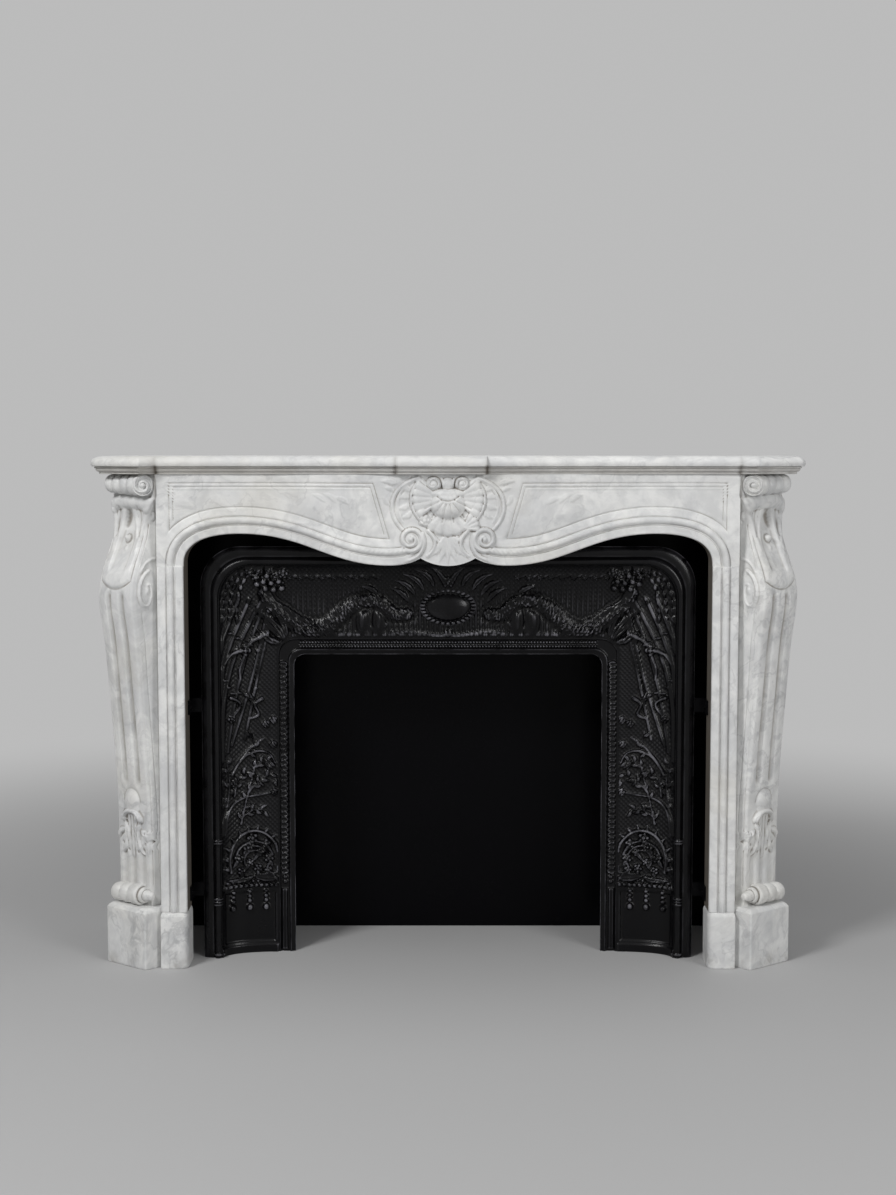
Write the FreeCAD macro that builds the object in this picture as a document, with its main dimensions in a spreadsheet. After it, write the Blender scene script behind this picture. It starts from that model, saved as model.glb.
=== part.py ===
import FreeCAD
import Part
import Sketcher

import math
import os
from types import SimpleNamespace

from FreeCAD import Vector

# Marble chimneypiece with a coved cast-iron insert.
# Frame: X to the right, Y from front to wall, Z up from the floor; millimetres.
# "Forward" distances are measured from the wall plane towards the room.

# Driving dimensions: name, value, meaning
SIZES = [
    ("shelf_length", 1500, "shelf from end to end"),
    ("overall_height", 1088, "floor to top of shelf"),
    ("shelf_depth", 390, "wall to the front of the shelf's central break"),
    ("shelf_thickness", 38, "shelf slab"),
    ("shelf_inset", 18, "how far the shelf's bed moulding stands back from its nose"),
    ("nose_height", 22, "height of the shelf's rounded nose"),
    ("shelf_overhang", 28, "shelf nose in front of the frieze at the centre"),
    ("shelf_hollow", 26, "depth of the shelf's concave runs"),
    ("break_half", 95, "half width of the central break"),
    ("break_step", 8, "step of the central break"),
    ("corner_overhang", 18, "shelf beyond the canted plinth faces"),
    ("corner_break", 9, "frieze joint to the break of the shelf's corner block"),
    ("shelf_cant", 30, "turn of the shelf's corner edges away from the front, in degrees"),
    ("corner_block", 140, "shelf end to the joint of frieze and console"),
    ("cant_angle", 38, "turn of the consoles away from the front, in degrees"),
    ("corner_run", 31, "frieze joint to the front corner of the console plinth"),
    ("plinth_face", 121, "width of the console plinth's face"),
    ("plinth_height", 130, "console plinth"),
    ("plinth_bevel", 8, "bevel round the plinth tops"),
    ("console_face", 102, "width of the console"),
    ("console_depth", 132, "plinth's front corner back to the rear of the console"),
    ("console_foot_set", 37, "console's foot behind the plinth's face"),
    ("console_shift", 8, "console's middle outside the middle of the plinth's face"),
    ("console_neck_set", 38, "console's neck behind the plinth's face"),
    ("console_belly", 8, "console's belly in front of the plinth's face"),
    ("belly_height", 809, "height of the belly"),
    ("belly_turn", 80, "belly down to the head of the shaft's curve"),
    ("belly_swell", 7, "belly in front of the head of the shaft's curve"),
    ("neck_lean", 4, "console's top in front of its neck"),
    ("foot_height", 200, "height where the shaft meets the lower scroll"),
    ("scroll_radius", 23, "console scrolls"),
    ("scroll_length", 92, "length of the console's upper scroll"),
    ("flute_width", 12, "grooves of the console's shaft"),
    ("flute_depth", 5, "depth of those grooves"),
    ("flute_foot", 395, "height where the grooves start"),
    ("flute_head", 790, "height where the grooves end"),
    ("slip_width", 56, "upright slip"),
    ("slip_depth", 63, "slip and frieze, front to back"),
    ("slip_plinth_height", 120, "block under the slip"),
    ("slip_plinth_stand", 13, "that block in front of the slip"),
    ("slip_plinth_side", 2, "that block inside the opening's side"),
    ("slip_plinth_bevel", 6, "bevel round its top"),
    ("slip_plinth_round", 14, "its round front corners"),
    ("lip_width", 17, "flat lip round the opening"),
    ("lip_quirk", 1, "small step at the lip's edge along the arch"),
    ("lip_stand", 4, "lip in front of the slip's face"),
    ("roll_gap", 4, "groove between the lip and the roll"),
    ("roll_radius", 7.5, "roll moulding round the opening"),
    ("frieze_bow", 24, "frieze's centre in front of its ends"),
    ("frieze_hollow", 13, "frieze's hollow behind its ends"),
    ("frieze_end_height", 193, "shelf down to the joint of frieze and slip"),
    ("spring_rise", 5, "frieze joint up to the springing of the arch"),
    ("crown_drop", 125, "shelf down to the arch's crown"),
    ("crown_inset", 115, "opening's side to the arch's crown"),
    ("scroll_drop", 190, "shelf down to the lowest point of the frieze's scrolls"),
    ("scroll_out", 125, "centre to that lowest point"),
    ("cusp_drop", 174, "shelf down to the cusps beside the shell"),
    ("cusp_out", 57, "centre to the cusps"),
    ("volute_out", 77, "centre to the frieze's volutes"),
    ("volute_drop", 135, "shelf down to the volutes"),
    ("volute_radius", 21, "frieze's volutes"),
    ("volute_stand", 9, "volutes in front of the frieze"),
    ("shell_width", 136, "carved shell"),
    ("shell_height", 104, "carved shell"),
    ("shell_drop", 72, "shelf down to the shell's centre"),
    ("shell_stand", 20, "shell in front of the frieze"),
    ("return_set", 65, "frieze joint to the outer face of the side return"),
    ("return_thickness", 25, "side return slab"),
    ("insert_gap", 24, "gap between slip and insert"),
    ("insert_drop", 30, "arch's crown down to the top of the insert"),
    ("insert_clearance", 3, "insert's frame roll behind the frieze"),
    ("side_panel_width", 195, "insert's side castings"),
    ("top_panel_width", 237, "insert's top casting"),
    ("cove_depth", 50, "fire opening's edge behind the insert's frame"),
    ("casting_thickness", 8, "iron castings"),
    ("frame_width", 40, "insert's outer frame, strip and roll"),
    ("frame_roll", 7, "half width of the frame's roll"),
    ("frame_quirk", 1, "small step beside the frame's roll"),
    ("border_width", 36, "inner border round the fire opening"),
    ("border_edge", 12, "flat edge of that border"),
    ("border_sink", 4, "depth of the border's channel"),
    ("insert_corner", 85, "insert's outer corners, radius"),
    ("fire_corner", 25, "fire opening's corners, radius"),
    ("medallion_width", 122, "oval medallion"),
    ("medallion_height", 80, "oval medallion"),
    ("medallion_rise", 104, "fire opening's top up to the medallion's centre"),
    ("medallion_stand", 14, "medallion in front of the cove"),
    ("stud_radius", 4, "studs cast on the back of the insert"),
    ("stud_length", 18, "those studs"),
    ("nut_width", 13, "nuts, across flats"),
    ("nut_height", 6.5, "nuts"),
    ("plate_thickness", 5, "lugs, corner plates and ties"),
    ("plate_width", 20, "corner plates"),
    ("plate_margin", 1, "plates inside the insert's outer edge"),
    ("plate_leg", 40, "straight legs of the corner plates"),
    ("lug_height", 30, "lugs"),
    ("lug_reach", 48, "lug's leg along the slip"),
    ("lug_upper", 553, "height of the upper lugs"),
    ("lug_lower", 150, "height of the lower lugs"),
    ("screw_radius", 2.5, "screws"),
    ("screw_length", 30, "screws, under the head"),
    ("bracket_screw_length", 18, "screws of the back sheet's brackets"),
    ("screw_head_radius", 5, "screw heads"),
    ("screw_head_height", 3, "screw heads"),
    ("sheet_thickness", 2, "black back sheet"),
    ("sheet_stand", 2, "back sheet in front of the wall"),
    ("sheet_headroom", 70, "shelf down to the top of the back sheet"),
    ("bracket_leg", 32, "back sheet's brackets"),
    ("bracket_height", 40, "back sheet's brackets"),
    ("bracket_upper", 860, "height of the upper brackets"),
    ("bracket_lower", 120, "height of the lower brackets"),
    ("dowel_radius", 5, "dowels between the stones"),
    ("dowel_reach", 18, "dowel into each stone"),
    ("dowel_set", 75, "console dowel behind the plinth's face"),
    ("shelf_dowel_out", 210, "centre to the shelf's dowels"),
    ("cramp_length", 76, "cramps across the frieze joints"),
    ("cramp_width", 10, "cramps"),
    ("cramp_height", 6, "cramps"),
    ("cramp_leg", 18, "turned ends of cramps and ties"),
    ("tie_spacing", 640, "wall ties, centre to centre"),
    ("tie_width", 25, "wall ties"),
    ("tie_plate", 62, "height of the ties' wall plates"),
    ("tie_grip", 26, "ties over the frieze"),
    ("tie_hole_radius", 3.5, "screw holes in the wall plates"),
    ("tie_hole_spacing", 30, "those holes, centre to centre"),
    ("clearance", 0.3, "play round metal let into stone or iron"),
]

# Places worked out from the driving dimensions
PLACES = [
    ("back", "Sizes.shelf_depth / 2"),
    ("cant_cos", "cos(Sizes.cant_angle)"),
    ("cant_sin", "sin(Sizes.cant_angle)"),
    ("joint_half", "Sizes.shelf_length / 2 - Sizes.corner_block"),
    ("opening_half", "joint_half - Sizes.slip_width"),
    ("insert_half", "opening_half - Sizes.insert_gap"),
    ("fire_half", "insert_half - Sizes.side_panel_width"),
    ("frieze_top", "Sizes.overall_height - Sizes.shelf_thickness"),
    ("joint_height", "frieze_top - Sizes.frieze_end_height"),
    ("crown_height", "frieze_top - Sizes.crown_drop"),
    ("insert_top", "crown_height - Sizes.insert_drop"),
    ("fire_top", "insert_top - Sizes.top_panel_width"),
    ("frieze_front", "Sizes.shelf_depth - Sizes.shelf_overhang"),
    ("slip_front", "frieze_front - Sizes.frieze_bow"),
    ("slip_rear", "slip_front - Sizes.slip_depth"),
    ("slip_middle", "(slip_front + slip_rear) / 2"),
    ("slip_centre", "(opening_half + joint_half) / 2"),
    ("insert_front", "slip_rear - Sizes.insert_clearance - Sizes.frame_roll"),
    ("strip_rear", "insert_front - Sizes.casting_thickness"),
    ("console_rear", "frieze_front - Sizes.console_depth"),
    ("corner_x", "joint_half + Sizes.corner_run"),
    ("plinth_outer_x", "corner_x + Sizes.plinth_face * cant_cos"),
    ("plinth_outer_b", "frieze_front - Sizes.plinth_face * cant_sin"),
    ("plinth_rear_x", "plinth_outer_x - (plinth_outer_b - console_rear) * cant_sin / cant_cos"),
    ("plinth_inner_b", "frieze_front - Sizes.corner_run * cant_cos / cant_sin"),
    ("dowel_x", "corner_x + Sizes.plinth_face / 2 * cant_cos - Sizes.dowel_set * cant_sin"),
    ("dowel_b", "frieze_front - Sizes.plinth_face / 2 * cant_sin - Sizes.dowel_set * cant_cos"),
    ("return_outer", "joint_half + Sizes.return_set"),
    ("return_inner", "return_outer - Sizes.return_thickness"),
    ("stud_x", "insert_half - Sizes.plate_margin - Sizes.plate_width / 2"),
    ("stud_top", "insert_top - Sizes.plate_margin - Sizes.plate_width / 2"),
    ("round_x", "insert_half - Sizes.insert_corner"),
    ("round_z", "insert_top - Sizes.insert_corner"),
    ("plate_rear", "strip_rear - Sizes.plate_thickness"),
    ("lug_front", "plate_rear + Sizes.lug_reach"),
    ("lug_inner", "insert_half - Sizes.plate_margin - Sizes.plate_width"),
    ("lug_outer", "opening_half - Sizes.plate_thickness"),
    ("lug_screw", "slip_rear + (lug_front - slip_rear) / 2"),
    ("sheet_front", "Sizes.sheet_stand + Sizes.sheet_thickness"),
    ("tie_top", "frieze_top - Sizes.clearance"),
    ("tie_front", "slip_rear + Sizes.tie_grip"),
]

doc = FreeCAD.newDocument("MarbleFireplace")


def fill_sizes():
    sheet = doc.addObject("Spreadsheet::Sheet", "Sizes")
    for row, (alias, number, meaning) in enumerate(SIZES, start=1):
        sheet.set(f"A{row}", meaning)
        sheet.set(f"B{row}", str(number))
        sheet.setAlias(f"B{row}", alias)
    doc.recompute()
    return sheet


def fill_places():
    sheet = doc.addObject("Spreadsheet::Sheet", "Places")
    for row, (alias, formula) in enumerate(PLACES, start=1):
        sheet.set(f"A{row}", alias)
        sheet.set(f"B{row}", "=" + formula)
        sheet.setAlias(f"B{row}", alias)
        doc.recompute()
    return sheet


sizes = fill_sizes()
places = fill_places()
v = SimpleNamespace()
for alias, _, _ in SIZES:
    setattr(v, alias, float(sizes.get(alias)))
for alias, _ in PLACES:
    setattr(v, alias, float(places.get(alias)))

nodes = []


def node(obj, label):
    obj.Label = label
    nodes.append(obj)
    return obj


def place(obj, x, forward, z):
    obj.setExpression("Placement.Base.x", x)
    obj.setExpression("Placement.Base.y", f"Places.back - ({forward})")
    obj.setExpression("Placement.Base.z", z)


def block(name, x0, x1, b0, b1, z0, z1):
    """A box between two X places, two forward places and two heights."""
    box = doc.addObject("Part::Box", name)
    box.setExpression("Length", f"({x1}) - ({x0})")
    box.setExpression("Width", f"({b1}) - ({b0})")
    box.setExpression("Height", f"({z1}) - ({z0})")
    place(box, x0, b1, z0)
    return box


def rod(name, radius, length, x, forward, z, axis="up"):
    """A cylinder from a point, upwards, towards the wall, or to the right."""
    cylinder = doc.addObject("Part::Cylinder", name)
    turns = {
        "up": FreeCAD.Rotation(),
        "back": FreeCAD.Rotation(Vector(1, 0, 0), -90),
        "right": FreeCAD.Rotation(Vector(0, 1, 0), 90),
    }
    cylinder.Placement = FreeCAD.Placement(Vector(), turns[axis])
    cylinder.setExpression("Radius", radius)
    cylinder.setExpression("Height", length)
    place(cylinder, x, forward, z)
    return cylinder


def fuse(name, pieces):
    joined = doc.addObject("Part::MultiFuse", name)
    joined.Shapes = pieces
    return joined


def cut(name, base, tools):
    tool = tools[0] if len(tools) == 1 else fuse(name + "Tools", tools)
    result = doc.addObject("Part::Cut", name)
    result.Base = base
    result.Tool = tool
    return result


def mirror(name, source):
    """The left-hand twin of a right-hand piece."""
    twin = doc.addObject("Part::Mirroring", name)
    twin.Source = source
    twin.Normal = (1, 0, 0)
    twin.Base = (0, 0, 0)
    return twin


def pair(right_obj, stem):
    node(right_obj, "right_" + stem)
    node(mirror("Left" + stem.title().replace("_", ""), right_obj), "left_" + stem)


def group(label, pieces):
    compound = doc.addObject("Part::Compound", label.title().replace("_", ""))
    compound.Links = pieces
    return node(compound, label)


def solid_feature(name, shape):
    feature = doc.addObject("Part::Feature", name)
    feature.Shape = shape
    return feature


def at(x, forward, z):
    return Vector(x, v.back - forward, z)


def origin_plane(body, role):
    return next(item for item in body.Origin.OriginFeatures if item.Role == role)


def padded_outline(name, corners, height):
    """A body whose outline lies on the floor plane, corners given as X and forward places."""
    body = doc.addObject("PartDesign::Body", name)
    sketch = body.newObject("Sketcher::SketchObject", name + "Outline")
    sketch.AttachmentSupport = (origin_plane(body, "XY_Plane"), [""])
    sketch.MapMode = "FlatFace"
    starts = [Vector(math.cos(k), math.sin(k), 0) for k in range(len(corners))]
    for k in range(len(corners)):
        sketch.addGeometry(Part.LineSegment(starts[k], starts[(k + 1) % len(corners)]), False)
    for k, (x, forward) in enumerate(corners):
        fix_corner(sketch, k, len(corners), x, forward)
    pad = body.newObject("PartDesign::Pad", name + "Pad")
    pad.Profile = sketch
    pad.setExpression("Length", height)
    doc.recompute()
    return body, pad


def fix_corner(sketch, k, count, x, forward):
    sketch.addConstraint(Sketcher.Constraint("Coincident", k, 2, (k + 1) % count, 1))
    across = sketch.addConstraint(Sketcher.Constraint("DistanceX", -1, 1, k, 1, 1.0))
    sketch.setExpression(f"Constraints[{across}]", x)
    along = sketch.addConstraint(Sketcher.Constraint("DistanceY", -1, 1, k, 1, 1.0))
    sketch.setExpression(f"Constraints[{along}]", f"Places.back - ({forward})")


def edge_names(shape, wanted):
    return [f"Edge{k}" for k, edge in enumerate(shape.Edges, start=1) if wanted(edge)]


def dress(body, kind, base, names, prop, size):
    """A fillet or chamfer on the named edges of a body's last feature."""
    feature = body.newObject("PartDesign::" + kind, body.Name + kind)
    feature.Base = (base, names)
    feature.setExpression(prop, size)
    doc.recompute()
    return feature


# Shelf: a slab whose edge moulding is a stack of insets of one plan

def shelf_plan(inset, z):
    """The shelf's outline at one height, drawn in from the nose by an inset."""
    half = v.shelf_length / 2 - inset
    step_x = v.break_half - inset
    front = v.shelf_depth - inset
    run_start = front - v.break_step
    lip = v.corner_overhang - inset
    corner = (v.corner_x + lip * (v.cant_sin - v.cant_cos),
              v.frieze_front + lip * (v.cant_cos + v.cant_sin))
    nose = (v.corner_x + v.corner_overhang * (v.cant_sin - v.cant_cos),
            v.frieze_front + v.corner_overhang * (v.cant_cos + v.cant_sin))
    run_end = nose[1] - (nose[0] - v.joint_half - v.corner_break) * v.cant_cos / v.cant_sin - inset
    run_end_x = corner[0] - (corner[1] - run_end) * v.cant_sin / v.cant_cos
    side = corner[1] - (half - corner[0]) * math.tan(math.radians(v.shelf_cant))
    middle = ((step_x + run_end_x) / 2, (run_start + run_end) / 2 - v.shelf_hollow)

    def run(sign):
        return Part.Arc(at(sign * step_x, run_start, z), at(sign * middle[0], middle[1], z),
                        at(sign * run_end_x, run_end, z)).toShape()

    def line(a, b):
        return Part.makeLine(at(a[0], a[1], z), at(b[0], b[1], z))

    edges = [line((-step_x, front), (step_x, front)),
             line((step_x, front), (step_x, run_start)),
             run(1),
             line((run_end_x, run_end), corner),
             line(corner, (half, side)),
             line((half, side), (half, 0)),
             line((half, 0), (-half, 0)),
             line((-half, 0), (-half, side)),
             line((-half, side), (-corner[0], corner[1])),
             line((-corner[0], corner[1]), (-run_end_x, run_end)),
             run(-1),
             line((-step_x, run_start), (-step_x, front))]
    return Part.Wire(Part.__sortEdges__(edges))


def shelf_shape():
    bed = v.shelf_thickness - v.nose_height
    bed_profile = [(0, 1), (0.32, 1), (0.38, 0.82), (0.7, 0.6), (0.92, 0.3)]
    nose_profile = [(0, 0.17), (0.15, 0.05), (0.33, 0), (0.55, 0.07), (0.73, 0.25), (0.88, 0.6), (1, 1.25)]
    heights = [(v.frieze_top + bed * up, v.shelf_inset * share) for up, share in bed_profile]
    heights += [(v.frieze_top + bed + v.nose_height * up, v.shelf_inset * share)
                for up, share in nose_profile]
    return Part.makeLoft([shelf_plan(inset, z) for z, inset in heights], True, True)


def top_holes():
    """Dowel holes between shelf and frieze."""
    return [rod(f"ShelfDowelHole{k}", "Sizes.dowel_radius + Sizes.clearance",
                "2 * (Sizes.dowel_reach + Sizes.clearance)", f"{sign} * Sizes.shelf_dowel_out",
                "Places.slip_middle", "Places.frieze_top - Sizes.dowel_reach - Sizes.clearance")
            for k, sign in enumerate((-1, 1))]


def make_shelf():
    slab = solid_feature("ShelfSlab", shelf_shape())
    node(cut("Shelf", slab, top_holes()), "shelf")


# Frieze: plan and elevation outlines, crossed

def frieze_plan(stand):
    """The frieze's plan as a solid, its front moved forward by a stand."""
    middle = (v.break_half + v.joint_half) / 2
    stations = [(v.joint_half, v.slip_front), (middle, v.slip_front - v.frieze_hollow),
                (v.break_half, v.frieze_front - v.frieze_bow / 6), (0, v.frieze_front)]
    points = [at(-x, b + stand, v.joint_height) for x, b in stations[:-1]]
    points += [at(x, b + stand, v.joint_height) for x, b in reversed(stations)]
    front = Part.BSplineCurve()
    front.interpolate(points)
    left, right = points[0], points[-1]
    rear_left = at(-v.joint_half, v.slip_rear, v.joint_height)
    rear_right = at(v.joint_half, v.slip_rear, v.joint_height)
    wire = Part.Wire([front.toShape(), Part.makeLine(right, rear_right),
                      Part.makeLine(rear_right, rear_left), Part.makeLine(rear_left, left)])
    return Part.Face(wire).extrude(Vector(0, 0, v.frieze_top - v.joint_height))


def arch_curves():
    """The right half of the arch, from its springing to the cusp beside the shell."""
    spring = v.joint_height + v.spring_rise
    crown_x = v.opening_half - v.crown_inset
    low = v.frieze_top - v.scroll_drop
    cusp = v.frieze_top - v.cusp_drop
    span = crown_x - v.scroll_out
    bend = v.scroll_out - v.cusp_out
    corner = [(v.opening_half, spring), (v.opening_half, spring + 0.75 * (v.crown_height - spring)),
              (crown_x + 0.55 * v.crown_inset, v.crown_height), (crown_x, v.crown_height)]
    sweep = [(crown_x, v.crown_height), (crown_x - 0.45 * span, v.crown_height),
             (v.scroll_out + 0.4 * span, low), (v.scroll_out, low)]
    hook = [(v.scroll_out, low), (v.scroll_out - 0.5 * bend, low),
            (v.cusp_out + 0.2 * bend, low + 0.5 * (cusp - low)), (v.cusp_out, cusp)]
    return [corner, sweep, hook]


def bezier(poles, sign=1):
    curve = Part.BezierCurve()
    curve.setPoles([at(sign * x, 0, z) for x, z in poles])
    return curve


def upright(edges, rear, front):
    """A closed outline in the elevation, made a solid between two forward places."""
    face = Part.Face(Part.Wire(Part.__sortEdges__(edges)))
    face.translate(Vector(0, -rear, 0))
    return face.extrude(Vector(0, rear - front, 0))


def frieze_elevation(front):
    cusp = v.frieze_top - v.cusp_drop
    lobe = Part.Arc(at(-v.cusp_out, 0, cusp), at(0, 0, v.frieze_top - v.scroll_drop),
                    at(v.cusp_out, 0, cusp)).toShape()
    edges = [lobe]
    for sign in (-1, 1):
        edges += [bezier(poles, sign).toShape() for poles in arch_curves()]
        foot = at(sign * v.opening_half, 0, v.joint_height)
        toe = at(sign * v.joint_half, 0, v.joint_height)
        edges.append(Part.makeLine(at(sign * v.opening_half, 0, v.joint_height + v.spring_rise), foot))
        edges.append(Part.makeLine(foot, toe))
        edges.append(Part.makeLine(toe, at(sign * v.joint_half, 0, v.frieze_top)))
    edges.append(Part.makeLine(at(-v.joint_half, 0, v.frieze_top), at(v.joint_half, 0, v.frieze_top)))
    return upright(edges, v.slip_rear, front)


def arch_offset(distance, sign):
    """A curve beside the arch, from the frieze joint to its scroll, at a distance into the stone."""
    steps = 10
    points = []
    for poles in arch_curves()[:2]:
        curve = bezier(poles, sign)
        for k in range(steps):
            tangent = curve.tangent(k / steps)[0]
            normal = Vector(sign * tangent.z, 0, -sign * tangent.x)
            points.append(curve.value(k / steps) + normal * distance)
    points.append(curve.value(1) + Vector(0, 0, distance))
    spline = Part.BSplineCurve()
    spline.interpolate(points)
    foot = at(sign * (v.opening_half + distance), 0, v.joint_height)
    return spline.toShape(), Part.makeLine(foot, points[0]), foot, points[-1]


def arch_band(near, far, stand, sign):
    """A raised band that follows the arch between two distances from its edge."""
    inner, inner_leg, inner_foot, inner_end = arch_offset(near, sign)
    outer, outer_leg, outer_foot, outer_end = arch_offset(far, sign)
    edges = [inner, inner_leg, outer, outer_leg, Part.makeLine(inner_foot, outer_foot),
             Part.makeLine(inner_end, outer_end)]
    return upright(edges, v.slip_rear, v.shelf_depth).common(frieze_plan(stand))


def upright_oval(width, height, forward, z):
    """An oval outline that faces the front."""
    oval = Part.Wire(Part.Ellipse(Vector(), width / 2, height / 2).toShape())
    oval.rotate(Vector(), Vector(1, 0, 0), 90)
    oval.translate(at(0, forward, z))
    return oval


def shell_boss():
    """The body of the carved shell, a low dome rooted in the frieze."""
    dome = [(1, -1), (1, 0.1), (0.9, 0.5), (0.68, 0.84), (0.36, 1)]
    rings = [upright_oval(v.shell_width * share, v.shell_height * share, v.frieze_front + v.shell_stand * out,
                          v.frieze_top - v.shell_drop) for share, out in dome]
    return Part.makeLoft(rings, True, True)


def frieze_shape():
    stone = frieze_elevation(v.shelf_depth).common(frieze_plan(0))
    roll = v.lip_width + v.roll_gap
    extras = []
    for sign in (-1, 1):
        extras.append(arch_band(v.lip_quirk, v.lip_width, v.lip_stand, sign))
        extras.append(arch_band(roll, roll + 2 * v.roll_radius, v.roll_radius / 2, sign))
        extras.append(arch_band(roll + v.roll_radius / 3, roll + 5 * v.roll_radius / 3, v.roll_radius, sign))
        extras.append(Part.makeCylinder(v.volute_radius, v.frieze_front + v.volute_stand - v.slip_rear,
                                        at(sign * v.volute_out, v.slip_rear, v.frieze_top - v.volute_drop),
                                        Vector(0, -1, 0)))
    extras.append(shell_boss())
    return stone.fuse(extras).removeSplitter()


def cramp_block(name, play):
    """The cramp's bar and its turned ends across the right joint, with play round it."""
    near = "Places.joint_half - Sizes.cramp_length / 2"
    far = "Places.joint_half + Sizes.cramp_length / 2"
    b0 = f"Places.slip_middle - Sizes.cramp_width / 2 - {play}"
    b1 = f"Places.slip_middle + Sizes.cramp_width / 2 + {play}"
    top = "Places.tie_top + " + play
    bar = block(name + "Bar", f"{near} - {play}", f"{far} + {play}", b0, b1,
                f"Places.tie_top - Sizes.cramp_height - {play}", top)
    leg_foot = f"Places.tie_top - Sizes.cramp_leg - {play}"
    inner = block(name + "Inner", f"{near} - {play}", f"{near} + Sizes.cramp_height + {play}",
                  b0, b1, leg_foot, top)
    outer = block(name + "Outer", f"{far} - Sizes.cramp_height - {play}", f"{far} + {play}",
                  b0, b1, leg_foot, top)
    return [bar, inner, outer]


def tie_blocks(name, sign, play):
    """A wall tie's bar and its end turned down into the frieze."""
    middle = f"{sign} * Sizes.tie_spacing / 2"
    x0 = f"{middle} - Sizes.tie_width / 2 - {play}"
    x1 = f"{middle} + Sizes.tie_width / 2 + {play}"
    top = f"Places.tie_top + {play}"
    front = f"Places.tie_front + {play}"
    bar = block(name + "Bar", x0, x1, "0", front, f"Places.tie_top - Sizes.plate_thickness - {play}", top)
    leg = block(name + "Leg", x0, x1, f"Places.tie_front - Sizes.plate_thickness - {play}", front,
                f"Places.tie_top - Sizes.cramp_leg - {play}", top)
    return [bar, leg]


def stone_dowel(name, x, forward, joint, play="0"):
    """An upright dowel across a level joint, or with play its hole."""
    return rod(name, f"Sizes.dowel_radius + {play}", f"2 * (Sizes.dowel_reach + {play})", x, forward,
               f"{joint} - Sizes.dowel_reach - {play}")


PLAY = "Sizes.clearance"


def make_frieze():
    stone = solid_feature("FriezeStone", frieze_shape())
    holes = top_holes()
    cramp = cramp_block("FriezeChase", PLAY)
    holes += cramp + [mirror("Left" + tool.Name, tool) for tool in cramp]
    for sign in (-1, 1):
        holes += tie_blocks(f"TieChase{sign + 1}", sign, PLAY)
        holes.append(stone_dowel(f"FriezeDowelHole{sign + 1}", f"{sign} * Places.slip_centre",
                                 "Places.slip_middle", "Places.joint_height", PLAY))
    node(cut("Frieze", stone, holes), "frieze")


# Consoles and their plinths, turned outwards; the right one is made and mirrored

def canted(along, out, z):
    """A point by the plinth's face: along it from the front corner, out from it, and up."""
    return at(v.corner_x - along * v.cant_cos + out * v.cant_sin,
              v.frieze_front + along * v.cant_sin + out * v.cant_cos, z)


def console_curve(along, shift):
    """The console's S-curved front edge, from the lower scroll to the upper one."""
    rise = v.belly_height - v.belly_turn - v.foot_height
    head = v.console_belly - v.belly_swell
    swing = head + v.console_foot_set
    steps = 4
    stations = []
    for k in range(steps + 1):
        share = k / steps
        stations.append((head - swing * math.cos(share * math.pi / 2), v.foot_height + rise * share))
    neck = -v.console_neck_set
    neck_height = v.frieze_top - 2 * v.scroll_radius
    neck_run = neck_height - v.belly_height
    stations += [(v.console_belly, v.belly_height),
                 ((neck + v.console_belly) / 2, v.belly_height + 0.35 * neck_run),
                 (neck, v.belly_height + 0.7 * neck_run),
                 (neck + v.neck_lean, neck_height)]
    spline = Part.BSplineCurve()
    spline.interpolate([canted(along, out + shift, z) for out, z in stations])
    return spline.toShape(), stations


def console_prism(start, width, shift, far):
    """The console's side outline between its front edge and a far face, carried along its width."""
    curve, stations = console_curve(start, shift)
    (low_out, low_z), (high_out, high_z) = stations[0], stations[-1]
    corners = [canted(start, high_out + shift, high_z), canted(start, high_out + shift, v.frieze_top),
               canted(start, far, v.frieze_top), canted(start, far, v.plinth_height),
               canted(start, low_out + shift, v.plinth_height), canted(start, low_out + shift, low_z)]
    lines = [Part.makeLine(a, b) for a, b in zip(corners, corners[1:])]
    face = Part.Face(Part.Wire(Part.__sortEdges__([curve] + lines)))
    return face.extrude(canted(start + width, 0, 0) - canted(start, 0, 0))


def console_shape():
    middle = -v.plinth_face / 2 - v.console_shift
    start = middle - v.console_face / 2
    deep = v.console_depth + v.plinth_face
    stone = console_prism(start, v.console_face, 0, -deep)
    run = canted(1, 0, 0) - canted(0, 0, 0)
    upper_start = -(v.plinth_face + v.scroll_length) / 2
    for along, length, out, z in (
            (upper_start, v.scroll_length, -v.scroll_radius, v.frieze_top - v.scroll_radius),
            (start, v.console_face, -v.scroll_radius - v.plinth_bevel / 2, v.plinth_height + v.scroll_radius)):
        stone = stone.fuse(Part.makeCylinder(v.scroll_radius, length, canted(along, out, z), run))
    band = Part.makeBox(v.shelf_length, v.shelf_depth * 2, v.flute_head - v.flute_foot,
                        Vector(0, -v.shelf_depth, v.flute_foot))
    for share in (-1, 1):
        groove = console_prism(middle + share * v.console_face / 6 - v.flute_width / 2, v.flute_width,
                               -v.flute_depth, v.console_depth)
        stone = stone.cut(groove.common(band))
    keep = Part.makeBox(v.shelf_length, v.shelf_depth, v.overall_height,
                        at(v.joint_half, v.console_rear + v.shelf_depth, 0))
    return stone.common(keep).removeSplitter()


def make_consoles():
    stone = solid_feature("ConsoleStone", console_shape())
    holes = cramp_block("ConsoleChase", PLAY)
    holes.append(stone_dowel("ConsoleDowelHole", "Places.dowel_x", "Places.dowel_b",
                             "Sizes.plinth_height", PLAY))
    pair(cut("RightConsole", stone, holes), "console")


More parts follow.
